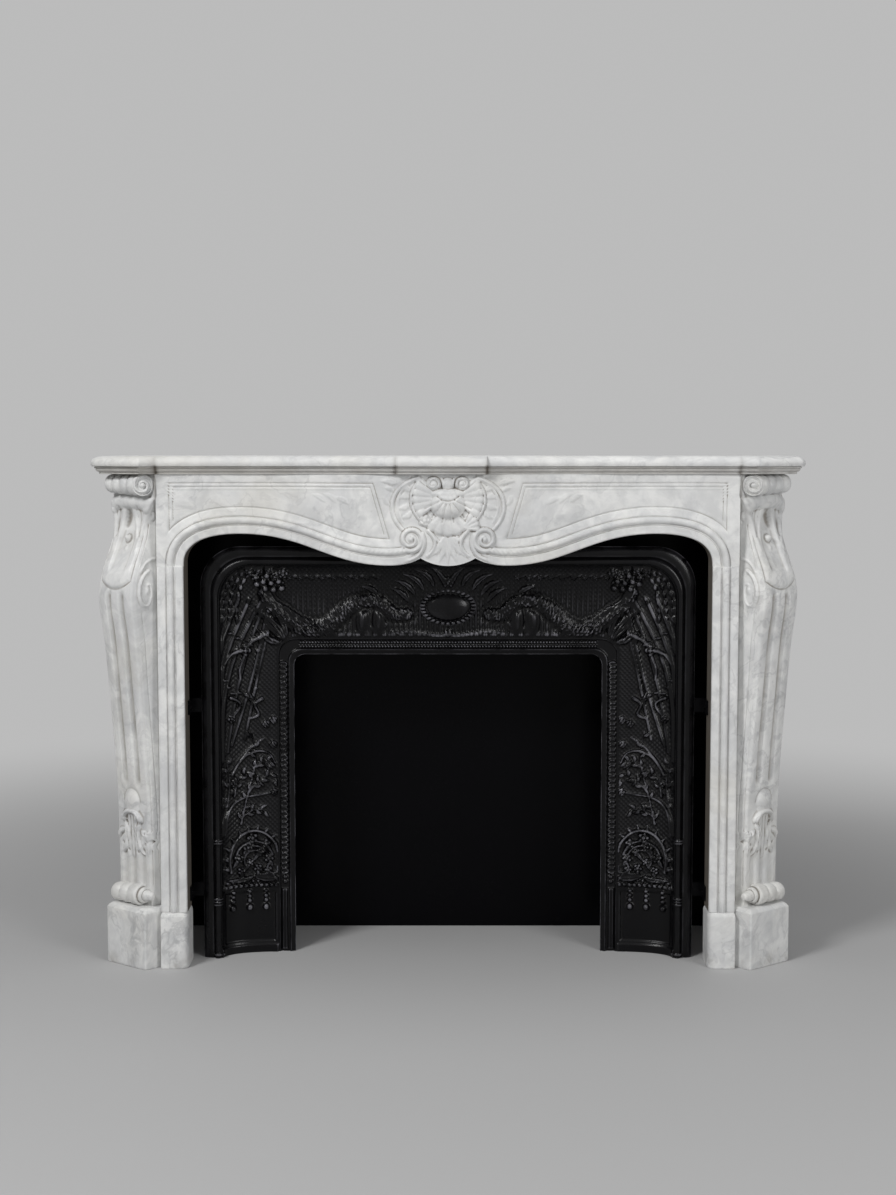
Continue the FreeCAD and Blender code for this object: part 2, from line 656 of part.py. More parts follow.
def make_console_plinths():
    corners = [("Places.corner_x", "Places.frieze_front"),
               ("Places.plinth_outer_x", "Places.plinth_outer_b"),
               ("Places.plinth_rear_x", "Places.console_rear"),
               ("Places.joint_half", "Places.console_rear"),
               ("Places.joint_half", "Places.plinth_inner_b")]
    body, pad = padded_outline("ConsolePlinth", corners, "Sizes.plinth_height")
    rear = v.back - v.console_rear

    def shows(edge):
        top = all(abs(p.Z - v.plinth_height) < 1e-6 for p in edge.Vertexes)
        at_rear = all(abs(p.Y - rear) < 1e-6 for p in edge.Vertexes)
        at_slip = all(abs(p.X - v.joint_half) < 1e-6 for p in edge.Vertexes)
        return top and not at_rear and not at_slip

    dress(body, "Chamfer", pad, edge_names(pad.Shape, shows), "Size", "Sizes.plinth_bevel")
    hole = stone_dowel("ConsolePlinthHole", "Places.dowel_x", "Places.dowel_b", "Sizes.plinth_height", PLAY)
    pair(cut("RightConsolePlinth", body, [hole]), "console_plinth")


# Slips, their plinths and the side returns

def make_slips():
    foot, head = "Sizes.slip_plinth_height", "Places.joint_height"
    rear, front = "Places.slip_rear", "Places.slip_front"
    edge = "Places.opening_half"
    lip_end = f"{edge} + Sizes.lip_width"
    roll_start = f"{lip_end} + Sizes.roll_gap"
    slab = block("SlipSlab", edge, "Places.joint_half", rear, front, foot, head)
    lip_front = f"{front} + Sizes.lip_stand"
    groove = block("SlipGroove", lip_end, roll_start, f"{front} - Sizes.lip_stand", lip_front, foot, head)
    lip = block("SlipLip", edge, lip_end, rear, lip_front, foot, head)
    roll = rod("SlipRoll", "Sizes.roll_radius", f"{head} - {foot}", f"{roll_start} + Sizes.roll_radius",
               front, foot)
    moulded = fuse("SlipMoulded", [cut("SlipGrooved", slab, [groove]), lip, roll])
    holes = [stone_dowel("SlipFootHole", "Places.slip_centre", "Places.slip_middle", foot, PLAY),
             stone_dowel("SlipHeadHole", "Places.slip_centre", "Places.slip_middle", head, PLAY)]
    for name, height in (("Upper", "Sizes.lug_upper"), ("Lower", "Sizes.lug_lower")):
        holes.append(rod(f"SlipScrewHole{name}", f"Sizes.screw_radius + {PLAY}",
                         f"Sizes.screw_length - Sizes.plate_thickness + {PLAY}", edge,
                         "Places.lug_screw", height, "right"))
    pair(cut("RightSlip", moulded, holes), "slip")


def make_slip_plinths():
    inner = "Places.opening_half - Sizes.slip_plinth_side"
    front = "Places.slip_front + Sizes.slip_plinth_stand"
    corners = [(inner, "Places.slip_rear"), ("Places.joint_half", "Places.slip_rear"),
               ("Places.joint_half", front), (inner, front)]
    body, pad = padded_outline("SlipPlinth", corners, "Sizes.slip_plinth_height")
    front_y = v.back - v.slip_front - v.slip_plinth_stand

    def front_corner(edge):
        return all(abs(p.Y - front_y) < 1e-6 for p in edge.Vertexes) and edge.BoundBox.ZLength > 1

    corner_names = edge_names(pad.Shape, front_corner)
    rounded = dress(body, "Fillet", pad, corner_names, "Radius", "Sizes.slip_plinth_round")

    def top_front(edge):
        box = edge.BoundBox
        return box.ZMin > v.slip_plinth_height - 1e-6 and box.YMax < v.back - v.slip_rear - 1e-3

    names = edge_names(rounded.Shape, lambda edge: top_front(edge) and edge.BoundBox.YMin < front_y + 1)
    dress(body, "Chamfer", rounded, names[:1], "Size", "Sizes.slip_plinth_bevel")
    hole = stone_dowel("SlipPlinthHole", "Places.slip_centre", "Places.slip_middle",
                       "Sizes.slip_plinth_height", PLAY)
    pair(cut("RightSlipPlinth", body, [hole]), "slip_plinth")


BRACKET_ROWS = (("Upper", "Sizes.bracket_upper"), ("Lower", "Sizes.bracket_lower"))
BRACKET_SCREW = "Places.sheet_front + Sizes.bracket_leg * 0.6"


def make_side_returns():
    slab = block("ReturnSlab", "Places.return_inner", "Places.return_outer", "0", "Places.console_rear",
                 "0", "Places.frieze_top")
    holes = [rod(f"ReturnScrewHole{name}", f"Sizes.screw_radius + {PLAY}",
                 f"Sizes.bracket_screw_length - Sizes.plate_thickness + {PLAY}",
                 "Places.return_inner", BRACKET_SCREW, height, "right")
             for name, height in BRACKET_ROWS]
    pair(cut("RightSideReturn", slab, holes), "side_return")


# Cast-iron insert: one coved surround, split at its mitres into three castings

def insert_sections():
    """Half width, top, corner radius and forward place of each line round the insert."""
    def inner(distance, depth):
        return section(distance, distance, depth)

    def outer(distance, depth):
        return section(v.side_panel_width - distance, v.top_panel_width - distance, depth)

    def section(side, top, depth):
        share = side / v.side_panel_width
        radius = v.fire_corner + (v.insert_corner - v.fire_corner) * share
        return v.fire_half + side, v.fire_top + top, radius, v.insert_front + depth

    def cove(share, drop):
        """A line of the hollow, or of its rear face at a drop behind it."""
        side_run = v.side_panel_width - v.border_width - v.frame_width
        top_run = v.top_panel_width - v.border_width - v.frame_width
        rise = v.cove_depth * (1 - math.sqrt(1 - share * share))
        lean = 0
        if drop:
            lean = math.atan(v.cove_depth / side_run * share / math.sqrt(1 - share * share))
        shift = drop * math.sin(lean)
        return section(v.border_width + share * side_run + shift, v.border_width + share * top_run + shift,
                       rise - v.cove_depth - drop * math.cos(lean))

    deep = -v.cove_depth
    channel = v.border_width - v.border_sink
    front = [inner(0, deep), inner(v.border_edge, deep),
             inner(v.border_edge + v.border_sink / 2, deep - v.border_sink),
             inner(channel - v.border_sink / 2, deep - v.border_sink), inner(channel, deep)]
    front += [cove(share, 0) for share in (0, 0.4, 0.65, 0.85, 0.96, 1)]
    roll_centre = v.frame_width - v.frame_roll - v.frame_quirk
    steps = 4
    for k in range(steps + 1):
        angle = math.pi * k / steps
        front.append(outer(roll_centre + v.frame_roll * math.cos(angle), v.frame_roll * math.sin(angle)))
    strip = roll_centre - v.frame_roll - v.frame_quirk
    front += [outer(strip, -2 * v.frame_quirk), outer(strip - 2 * v.frame_quirk, 0), outer(0, 0)]
    rear = [outer(0, -v.casting_thickness), outer(v.frame_width - v.casting_thickness, -v.casting_thickness)]
    rear += [cove(share, v.casting_thickness) for share in (0.85, 0.6, 0.3, 0)]
    rear.append(inner(0, deep - v.casting_thickness))
    return front + rear


def surround_wire(half, top, radius, forward):
    lean = radius * (1 - math.sqrt(0.5))
    return Part.Wire([
        Part.makeLine(at(half, forward, 0), at(half, forward, top - radius)),
        Part.Arc(at(half, forward, top - radius), at(half - lean, forward, top - lean),
                 at(half - radius, forward, top)).toShape(),
        Part.makeLine(at(half - radius, forward, top), at(radius - half, forward, top)),
        Part.Arc(at(radius - half, forward, top), at(lean - half, forward, top - lean),
                 at(-half, forward, top - radius)).toShape(),
        Part.makeLine(at(-half, forward, top - radius), at(-half, forward, 0))])


def insert_shape():
    sections = insert_sections()
    wires = [surround_wire(*section) for section in sections]
    faces = []
    for wire, following in zip(wires, wires[1:] + wires[:1]):
        faces += Part.makeRuledSurface(wire, following).Faces
    for sign in (-1, 1):
        foot = [at(sign * half, forward, 0) for half, _, _, forward in sections]
        faces.append(Part.Face(Part.makePolygon(foot + foot[:1])))
    shell = Part.Shell(faces)
    shell.sewShape()
    solid = Part.Solid(shell)
    if solid.Volume < 0:
        solid.reverse()
    return solid


def wedge(points):
    corners = [Vector(x, v.back, z) for x, z in points]
    return Part.Face(Part.makePolygon(corners + corners[:1])).extrude(Vector(0, -v.shelf_depth, 0))


def mitred_panels():
    """The right casting and the top one."""
    surround = insert_shape()
    beyond = v.insert_corner
    slope = v.top_panel_width / v.side_panel_width
    near = (v.fire_half - beyond, v.fire_top - beyond * slope)
    far = (v.insert_half + beyond, v.insert_top + beyond * slope)
    right = wedge([near, far, (far[0], -beyond), (near[0], -beyond)])
    top = wedge([near, far, (-far[0], far[1]), (-near[0], near[1])])
    return surround.common(right), surround.common(top)


def medallion():
    height = v.fire_top + v.medallion_rise
    reach = (v.medallion_rise - v.border_width) / (v.top_panel_width - v.border_width - v.frame_width)
    surface = v.insert_front - v.cove_depth * math.sqrt(1 - reach * reach)
    root = v.casting_thickness / 2
    face = Part.Face(upright_oval(v.medallion_width, v.medallion_height, surface - root, height))
    return face.extrude(Vector(0, -v.medallion_stand - root, 0))


STUD_BURY = "Sizes.casting_thickness / 4"
PLATE_STUD_Z = "Places.round_z - Sizes.plate_leg / 2"
PLATE_STUD_X = "Places.round_x - Sizes.plate_leg / 2"
RIGHT_STUDS = (("Upper", "Places.stud_x", "Sizes.lug_upper"), ("Lower", "Places.stud_x", "Sizes.lug_lower"),
               ("Side", "Places.stud_x", PLATE_STUD_Z), ("Top", PLATE_STUD_X, "Places.stud_top"))


def stud(name, x, z):
    return rod(name, "Sizes.stud_radius", f"Sizes.stud_length + {STUD_BURY}", x,
               f"Places.strip_rear + {STUD_BURY}", z, "back")


def stud_hole(name, x, z):
    return rod(name, f"Sizes.stud_radius + {PLAY}", "Sizes.plate_thickness * 3", x,
               "Places.strip_rear + Sizes.plate_thickness", z, "back")


def make_insert():
    right, top = mitred_panels()
    right_casting = solid_feature("RightCasting", right)
    studs = [stud("RightStud" + name, x, z) for name, x, z in RIGHT_STUDS[:3]]
    pair(fuse("RightPanel", [right_casting] + studs), "insert_panel")
    top_casting = solid_feature("TopCasting", top.fuse(medallion()).removeSplitter())
    name, x, z = RIGHT_STUDS[3]
    top_stud = stud("RightStud" + name, x, z)
    node(fuse("TopPanel", [top_casting, top_stud, mirror("LeftStudTop", top_stud)]), "insert_top_panel")


def make_corner_plates():
    outer = "(Sizes.insert_corner - Sizes.plate_margin)"
    inner = f"({outer} - Sizes.plate_width)"
    quarter = []
    for name, radius in (("Outer", outer), ("Inner", inner)):
        sector = doc.addObject("Part::Cylinder", "PlateRound" + name)
        sector.Placement = FreeCAD.Placement(Vector(), FreeCAD.Rotation(Vector(1, 0, 0), 90))
        sector.Angle = 90
        sector.setExpression("Radius", radius)
        sector.setExpression("Height", "Sizes.plate_thickness")
        place(sector, "Places.round_x", "Places.plate_rear", "Places.round_z")
        quarter.append(sector)
    bend = cut("PlateBend", quarter[0], quarter[1:])
    side_leg = block("PlateSideLeg", f"Places.round_x + {inner}", f"Places.round_x + {outer}",
                     "Places.plate_rear", "Places.strip_rear", "Places.round_z - Sizes.plate_leg",
                     "Places.round_z")
    top_leg = block("PlateTopLeg", "Places.round_x - Sizes.plate_leg", "Places.round_x",
                    "Places.plate_rear", "Places.strip_rear", f"Places.round_z + {inner}",
                    f"Places.round_z + {outer}")
    blank = fuse("PlateBlank", [bend, side_leg, top_leg])
    holes = [stud_hole("PlateHole" + name, x, z) for name, x, z in RIGHT_STUDS[2:]]
    pair(cut("RightCornerPlate", blank, holes), "corner_plate")


def make_lugs():
    lugs = []
    for name, height in (("Upper", "Sizes.lug_upper"), ("Lower", "Sizes.lug_lower")):
        z0, z1 = f"{height} - Sizes.lug_height / 2", f"{height} + Sizes.lug_height / 2"
        across = block(f"LugAcross{name}", "Places.lug_inner", "Places.opening_half", "Places.plate_rear",
                       "Places.strip_rear", z0, z1)
        along = block(f"LugAlong{name}", "Places.lug_outer", "Places.opening_half", "Places.plate_rear",
                      "Places.lug_front", z0, z1)
        holes = [stud_hole(f"LugStudHole{name}", "Places.stud_x", height),
                 rod(f"LugScrewHole{name}", f"Sizes.screw_radius + {PLAY}", "Sizes.plate_thickness * 2",
                     "Places.lug_outer - Sizes.plate_thickness / 2", "Places.lug_screw", height, "right")]
        lug = cut(f"Lug{name}", fuse(f"LugBlank{name}", [across, along]), holes)
        lugs += [lug, mirror(f"LeftLug{name}", lug)]
    group("insert_lugs", lugs)


def make_nuts():
    nuts = []
    for name, x, z in RIGHT_STUDS:
        prism = doc.addObject("Part::Prism", "NutBlank" + name)
        prism.Polygon = 6
        prism.Placement = FreeCAD.Placement(Vector(), FreeCAD.Rotation(Vector(1, 0, 0), -90))
        prism.setExpression("Circumradius", "Sizes.nut_width / sqrt(3)")
        prism.setExpression("Height", "Sizes.nut_height")
        place(prism, x, "Places.plate_rear", z)
        nut = cut("Nut" + name, prism, [rod("NutBore" + name, f"Sizes.stud_radius + {PLAY}",
                                            "Sizes.nut_height * 3", x,
                                            "Places.plate_rear + Sizes.nut_height", z, "back")])
        nuts += [nut, mirror("LeftNut" + name, nut)]
    group("insert_nuts", nuts)


def screw(name, x, forward, z, length, axis):
    """A round-headed screw whose head seats at the given point."""
    lift = "Sizes.screw_head_height"
    head_x, head_b = (f"{x} - {lift}", forward) if axis == "right" else (x, f"{forward} + {lift}")
    head = rod(name + "Head", "Sizes.screw_head_radius", lift, head_x, head_b, z, axis)
    return fuse(name, [head, rod(name + "Shank", "Sizes.screw_radius", length, x, forward, z, axis)])


def make_lug_screws():
    screws = []
    for name, height in (("Upper", "Sizes.lug_upper"), ("Lower", "Sizes.lug_lower")):
        piece = screw("LugScrew" + name, "Places.lug_outer", "Places.lug_screw", height,
                      "Sizes.screw_length", "right")
        screws += [piece, mirror("LeftLugScrew" + name, piece)]
    group("lug_screws", screws)


# Black back sheet, its brackets and screws

SHEET_SCREW_X = "Places.return_inner - Sizes.bracket_leg * 0.6"


def make_back_plate():
    edge = f"Places.return_inner - {PLAY}"
    sheet = block("BackSheet", f"-({edge})", edge, "Sizes.sheet_stand", "Places.sheet_front", "0",
                  "Places.frieze_top - Sizes.sheet_headroom")
    holes = []
    for name, height in BRACKET_ROWS:
        hole = rod("SheetHole" + name, f"Sizes.screw_radius + {PLAY}", "Sizes.sheet_thickness * 2",
                   SHEET_SCREW_X, "Places.sheet_front + Sizes.sheet_thickness / 2", height, "back")
        holes += [hole, mirror("LeftSheetHole" + name, hole)]
    node(cut("BackPlate", sheet, holes), "back_plate")


def make_brackets():
    brackets, screws = [], []
    edge = "Places.return_inner"
    for name, height in BRACKET_ROWS:
        z0, z1 = f"{height} - Sizes.bracket_height / 2", f"{height} + Sizes.bracket_height / 2"
        on_sheet = block("BracketSheetLeg" + name, f"{edge} - Sizes.bracket_leg", edge, "Places.sheet_front",
                         "Places.sheet_front + Sizes.plate_thickness", z0, z1)
        on_return = block("BracketReturnLeg" + name, f"{edge} - Sizes.plate_thickness", edge,
                          "Places.sheet_front", "Places.sheet_front + Sizes.bracket_leg", z0, z1)
        holes = [rod("BracketSheetHole" + name, f"Sizes.screw_radius + {PLAY}", "Sizes.plate_thickness * 2",
                     SHEET_SCREW_X, "Places.sheet_front + Sizes.plate_thickness * 1.5", height, "back"),
                 rod("BracketReturnHole" + name, f"Sizes.screw_radius + {PLAY}", "Sizes.plate_thickness * 2",
                     f"{edge} - Sizes.plate_thickness * 1.5", BRACKET_SCREW, height, "right")]
        bracket = cut("Bracket" + name, fuse("BracketBlank" + name, [on_sheet, on_return]), holes)
        brackets += [bracket, mirror("LeftBracket" + name, bracket)]
        sheet_screw = screw("SheetScrew" + name, SHEET_SCREW_X, "Places.sheet_front + Sizes.plate_thickness",
                            height, "Sizes.plate_thickness + Sizes.sheet_thickness + Sizes.sheet_stand / 2",
                            "back")
        return_screw = screw("ReturnScrew" + name, f"{edge} - Sizes.plate_thickness", BRACKET_SCREW, height,
                             "Sizes.bracket_screw_length", "right")
        screws += [sheet_screw, mirror("LeftSheetScrew" + name, sheet_screw),
                   return_screw, mirror("LeftReturnScrew" + name, return_screw)]
    group("back_brackets", brackets)
    group("bracket_screws", screws)


# Iron let into the stones

def make_dowels():
    joints = (("console_dowels", "Places.dowel_x", "Places.dowel_b", "Sizes.plinth_height"),
              ("slip_dowels", "Places.slip_centre", "Places.slip_middle", "Sizes.slip_plinth_height"),
              ("frieze_dowels", "Places.slip_centre", "Places.slip_middle", "Places.joint_height"),
              ("shelf_dowels", "Sizes.shelf_dowel_out", "Places.slip_middle", "Places.frieze_top"))
    for label, x, forward, joint in joints:
        stem = label.title().replace("_", "")
        dowel = stone_dowel("Right" + stem, x, forward, joint)
        group(label, [dowel, mirror("Left" + stem, dowel)])


def make_cramps():
    cramp = fuse("RightCramp", cramp_block("Cramp", "0"))
    group("frieze_cramps", [cramp, mirror("LeftCramp", cramp)])


def make_wall_ties():
    middle = "Sizes.tie_spacing / 2"
    plate = block("TiePlate", f"{middle} - Sizes.tie_width / 2", f"{middle} + Sizes.tie_width / 2", "0",
                  "Sizes.plate_thickness", "Places.tie_top - Sizes.tie_plate", "Places.tie_top")
    blank = fuse("TieBlank", tie_blocks("Tie", 1, "0") + [plate])
    centre = "Places.tie_top - (Sizes.tie_plate + Sizes.plate_thickness) / 2"
    holes = [rod(f"TieHole{k}", "Sizes.tie_hole_radius", "Sizes.plate_thickness * 2", middle,
                 "Sizes.plate_thickness * 1.5", f"{centre} + {sign} * Sizes.tie_hole_spacing / 2", "back")
             for k, sign in enumerate((-1, 1))]
    tie = cut("RightTie", blank, holes)
    group("wall_ties", [tie, mirror("LeftTie", tie)])


make_shelf()
make_frieze()
make_consoles()
make_console_plinths()
make_slips()
make_slip_plinths()
make_side_returns()
make_insert()
make_corner_plates()
make_lugs()
make_nuts()
make_lug_screws()
make_back_plate()
make_brackets()
make_dowels()
make_cramps()
make_wall_ties()
doc.recompute()

for item in doc.Objects:
    if "Invalid" in item.State or "Error" in item.State:
        raise RuntimeError(f"{item.Name} did not build: {item.State}")
for item in nodes:
    if item.Shape.isNull() or not item.Shape.isValid() or not item.Shape.Solids:
        raise RuntimeError(f"{item.Label} has no sound solid")

os.makedirs("parts", exist_ok=True)
for item in nodes:
    item.Shape.exportStep(f"parts/{item.Label}.step")
    box = item.Shape.BoundBox
    print(f"{item.Label}: {len(item.Shape.Solids)} solid(s), {item.Shape.Volume / 1000:.1f} cm3, "
          f"X {box.XMin:.0f}..{box.XMax:.0f} Y {box.YMin:.0f}..{box.YMax:.0f} "
          f"Z {box.ZMin:.0f}..{box.ZMax:.0f}")
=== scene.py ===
import math

import bpy
import numpy as np
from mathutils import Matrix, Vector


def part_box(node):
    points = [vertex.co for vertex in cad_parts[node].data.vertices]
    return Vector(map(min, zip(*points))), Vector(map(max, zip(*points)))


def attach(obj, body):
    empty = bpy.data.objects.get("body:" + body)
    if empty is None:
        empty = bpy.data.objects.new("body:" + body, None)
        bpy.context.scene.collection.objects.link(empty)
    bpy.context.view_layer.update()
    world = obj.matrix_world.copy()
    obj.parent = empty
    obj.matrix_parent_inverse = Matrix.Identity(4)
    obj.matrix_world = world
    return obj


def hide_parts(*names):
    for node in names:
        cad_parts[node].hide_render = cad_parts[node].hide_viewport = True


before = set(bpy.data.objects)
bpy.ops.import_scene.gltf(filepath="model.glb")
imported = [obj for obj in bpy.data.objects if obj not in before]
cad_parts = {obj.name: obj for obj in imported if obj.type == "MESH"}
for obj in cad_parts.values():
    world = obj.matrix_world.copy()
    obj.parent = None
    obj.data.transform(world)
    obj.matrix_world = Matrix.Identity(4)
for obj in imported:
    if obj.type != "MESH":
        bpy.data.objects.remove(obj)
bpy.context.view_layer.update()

# Places of the stones and castings, in millimetres.
# "Forward" is the distance from the wall plane towards the room; "up" is the height above the floor.
WALL_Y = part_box("shelf")[1][1] * 1000
SHELF_HALF = 750
SHELF_TOP = 1088
NOSE_FOOT = 1066
SHELF_FRONT = 390
FRIEZE_TOP = 1050
FRIEZE_FRONT = 362
FRIEZE_FOOT = 857
STONE_REAR = 275
JOINT_HALF = 610
OPENING_HALF = 554
SLIP_FRONT = 338
CONSOLE_REAR = 230
CANT = math.radians(38)
CANT_COS = math.cos(CANT)
CANT_SIN = math.sin(CANT)
SHELF_CANT = math.radians(30)
CORNER_X = 641
PLINTH_TOP = 130
SLIP_PLINTH_TOP = 120
SCROLL_RADIUS = 23
VOLUTE = (77, 915)
VOLUTE_RADIUS = 23
FIRE_HALF = 335
FIRE_TOP = 658
INSERT_FRONT = 265
SIDE_WIDTH = 195
TOP_WIDTH = 237
COVE_DEPTH = 50
BORDER_WIDTH = 36
FRAME_WIDTH = 40
CASTING = 8
REVEAL_EDGE = 8


def metres(points):
    """Points as across, forward and up in millimetres, moved to the frame's metres."""
    moved = np.array(points, float)
    moved[..., 1] = WALL_Y - moved[..., 1]
    return moved / 1000


def canted(along, out):
    """Across and forward of a point by the right plinth's face: along from its front corner, and out."""
    return CORNER_X - along * CANT_COS + out * CANT_SIN, FRIEZE_FRONT + along * CANT_SIN + out * CANT_COS


def spline(knots, values, places):
    """A natural cubic spline through the given values."""
    knots = np.asarray(knots, float)
    values = np.asarray(values, float)
    gaps = np.diff(knots)
    count = len(knots)
    matrix = np.eye(count)
    target = np.zeros(count)
    for k in range(1, count - 1):
        matrix[k, k - 1:k + 2] = gaps[k - 1], 2 * (gaps[k - 1] + gaps[k]), gaps[k]
        target[k] = 6 * ((values[k + 1] - values[k]) / gaps[k] - (values[k] - values[k - 1]) / gaps[k - 1])
    bend = np.linalg.solve(matrix, target)
    k = np.clip(np.searchsorted(knots, places) - 1, 0, count - 2)
    after = places - knots[k]
    before = knots[k + 1] - places
    curve = (bend[k] * before ** 3 + bend[k + 1] * after ** 3) / (6 * gaps[k])
    return curve + (values[k] / gaps[k] - bend[k] * gaps[k] / 6) * before \
        + (values[k + 1] / gaps[k] - bend[k + 1] * gaps[k] / 6) * after


def flowing(points, steps=7):
    """A smooth path through a few points."""
    points = np.asarray(points, float)
    if len(points) < 3:
        return points
    travel = np.concatenate([[0], np.cumsum(np.hypot(*np.diff(points, axis=0).T))])
    places = np.linspace(0, travel[-1], steps * (len(points) - 1) + 1)
    return np.stack([spline(travel, points[:, axis], places) for axis in (0, 1)], axis=1)


def bezier(poles, count):
    """Points on a cubic curve, without its last one."""
    t = np.linspace(0, 1, count, endpoint=False)[:, None]
    a, b, c, d = np.array(poles, float)
    return (1 - t) ** 3 * a + 3 * (1 - t) ** 2 * t * b + 3 * (1 - t) * t ** 2 * c + t ** 3 * d


def ease(low, high, values):
    """A soft step from 0 at low to 1 at high."""
    share = np.clip((values - low) / (high - low), 0, 1)
    return share * share * (3 - 2 * share)


def dip(share):
    """The depth of a rounded dip: 1 in its middle, 0 from a share of 1 on."""
    return np.clip(1 - share ** 2, 0, 1)


def bulge(share):
    """The height of a half circle: 1 in its middle, 0 from a share of 1 on."""
    return np.sqrt(dip(share))


def arc(first, last, count):
    """Cosines and sines of even turns between two angles in degrees."""
    turns = [math.radians(turn) for turn in np.linspace(first, last, count)]
    return [(math.cos(turn), math.sin(turn)) for turn in turns]


def unit(vectors):
    """A plane vector, or rows of them, brought to a length of 1."""
    return vectors / np.hypot(*vectors.T)[..., None]


# Carving: heights over a face that is laid out flat

class Relief:
    """Heights carved on a face, over points given as across and up in millimetres."""

    def __init__(self, across, up):
        self.shape = across.shape
        self.x = across.ravel()
        self.z = up.ravel()
        self.height = np.zeros(self.x.size)

    def near(self, path, reach):
        low = np.min(path, axis=0) - reach
        high = np.max(path, axis=0) + reach
        inside = (self.x > low[0]) & (self.x < high[0]) & (self.z > low[1]) & (self.z < high[1])
        return np.flatnonzero(inside)

    def around(self, centre, reach):
        """The points near a centre, with how far right of it and above it they lie."""
        index = self.near(np.array([centre]), reach)
        return index, self.x[index] - centre[0], self.z[index] - centre[1]

    def measure(self, index, path):
        """How far points lie from a path, and the share of its length at their nearest point."""
        runs = np.diff(path, axis=0)
        lengths = np.maximum(np.hypot(*runs.T), 1e-9)
        travel = np.concatenate([[0], np.cumsum(lengths)])
        gaps = np.empty(len(index))
        shares = np.empty(len(index))
        batch = 4000
        for first in range(0, len(index), batch):
            part = index[first:first + batch]
            dx = self.x[part, None] - path[:-1, 0]
            dz = self.z[part, None] - path[:-1, 1]
            t = np.clip((dx * runs[:, 0] + dz * runs[:, 1]) / lengths ** 2, 0, 1)
            gap = np.hypot(dx - t * runs[:, 0], dz - t * runs[:, 1])
            nearest = gap.argmin(axis=1)
            rows = np.arange(len(part))
            reached = travel[nearest] + t[rows, nearest] * lengths[nearest]
            gaps[first:first + batch] = gap[rows, nearest]
            shares[first:first + batch] = reached / travel[-1]
        return gaps, shares

    def along(self, path, width):
        """The points near a path, with their distance from it and their share of its length."""
        index = self.near(path, width)
        return index, *self.measure(index, path)

    def lay(self, index, form, base=0.0):
        """Lays a form over the carving, where it stands higher than what is there."""
        high = np.where(form > 0, base + form, -1e3)
        self.height[index] = np.maximum(self.height[index], high)

    def cord(self, points, width, height, taper=1.0, twist=0):
        """A rounded band along a path, narrowing to the taper share, with a number of twists cut in it."""
        index, gap, share = self.along(flowing(points), width)
        slim = 1 + (taper - 1) * share
        form = height * slim * bulge(gap / (width / 2 * slim))
        if twist:
            form *= 0.8 + 0.2 * np.cos(2 * math.pi * twist * share + gap / width * 4)
        self.lay(index, form)

    def groove(self, points, width, depth):
        index, gap, _ = self.along(flowing(points), width)
        self.height[index] -= depth * dip(gap / (width / 2))

    def leaf(self, start, tip, width, height, bow=0.0, base=0.0, lobes=0):
        """A pointed leaf with a vein, bowed to one side, its edge cut into lobes."""
        start = np.array(start, float)
        run = np.array(tip, float) - start
        length = np.hypot(*run)
        index = self.near(np.array([start, start + run]), width + abs(bow))
        dx = self.x[index] - start[0]
        dz = self.z[index] - start[1]
        share = np.clip((dx * run[0] + dz * run[1]) / length ** 2, -0.2, 1.2)
        aside = (dz * run[0] - dx * run[1]) / length - 4 * bow * share * (1 - share)
        body = np.sin(math.pi * np.clip(share, 0, 1) ** 0.75)
        half = width / 2 * np.maximum(body, 0) ** 0.8
        if lobes:
            half = half * (0.8 + 0.2 * np.abs(np.sin(lobes * math.pi * share)))
        inside = dip(aside / np.maximum(half, 1e-3))
        form = height * np.sqrt(inside) * (0.45 + 0.55 * body)
        form -= 0.35 * height * np.exp(-(aside / (0.09 * width)) ** 2) * body
        inside_leaf = (share > 0) & (share < 1) & (inside > 0)
        self.lay(index, np.where(inside_leaf, np.maximum(form, 0.05), 0), base)

    def leaves(self, rows, width, height, lobes=0, base=0.0):
        """Leaves of one size, as rows of start, tip and bow."""
        for start, tip, bow in rows:
            self.leaf(start, tip, width, height, bow, base, lobes)

    def bloom(self, centre, radius, height, petals=5, turn=0.0):
        """A flower: rounded petals round a button."""
        index, dx, dz = self.around(centre, radius)
        away = np.hypot(dx, dz) / radius
        lobe = np.abs(np.cos(petals / 2 * (np.arctan2(dz, dx) + turn)))
        form = height * bulge(away / (0.72 + 0.28 * lobe)) * (0.7 + 0.3 * lobe)
        form -= 0.4 * height * np.exp(-((away - 0.4) / 0.1) ** 2)
        self.lay(index, form)

    def dome(self, centre, half_width, half_height, height, base=0.0):
        index, dx, dz = self.around(centre, max(half_width, half_height))
        body = 1 - (dx / half_width) ** 2 - (dz / half_height) ** 2
        self.lay(index, height * np.sqrt(np.clip(body, 0, 1)), base)

    def fan(self, centre, near, far, start, end, ribs, height, hollow):
        """A ribbed sector of a shell between two radii and two angles in degrees."""
        index, dx, dz = self.around(centre, far)
        away = np.hypot(dx, dz)
        middle = math.radians((start + end) / 2)
        turn = np.angle(np.exp(1j * (np.arctan2(dz, dx) - middle)))
        share = turn / math.radians(abs(end - start)) + 0.5
        rib = np.abs(np.sin(math.pi * ribs * share)) ** 0.5
        rim = far * (0.94 + 0.06 * rib)
        climb = np.clip((away - near) / (rim - near), 0, 1)
        form = height * (1 - hollow + hollow * climb) * (0.72 + 0.28 * rib)
        form *= np.sqrt(np.clip(1 - climb ** 10, 0, 1))
        inside = (share > 0) & (share < 1) & (away > near) & (away < rim)
        self.lay(index, np.where(inside, form, 0))

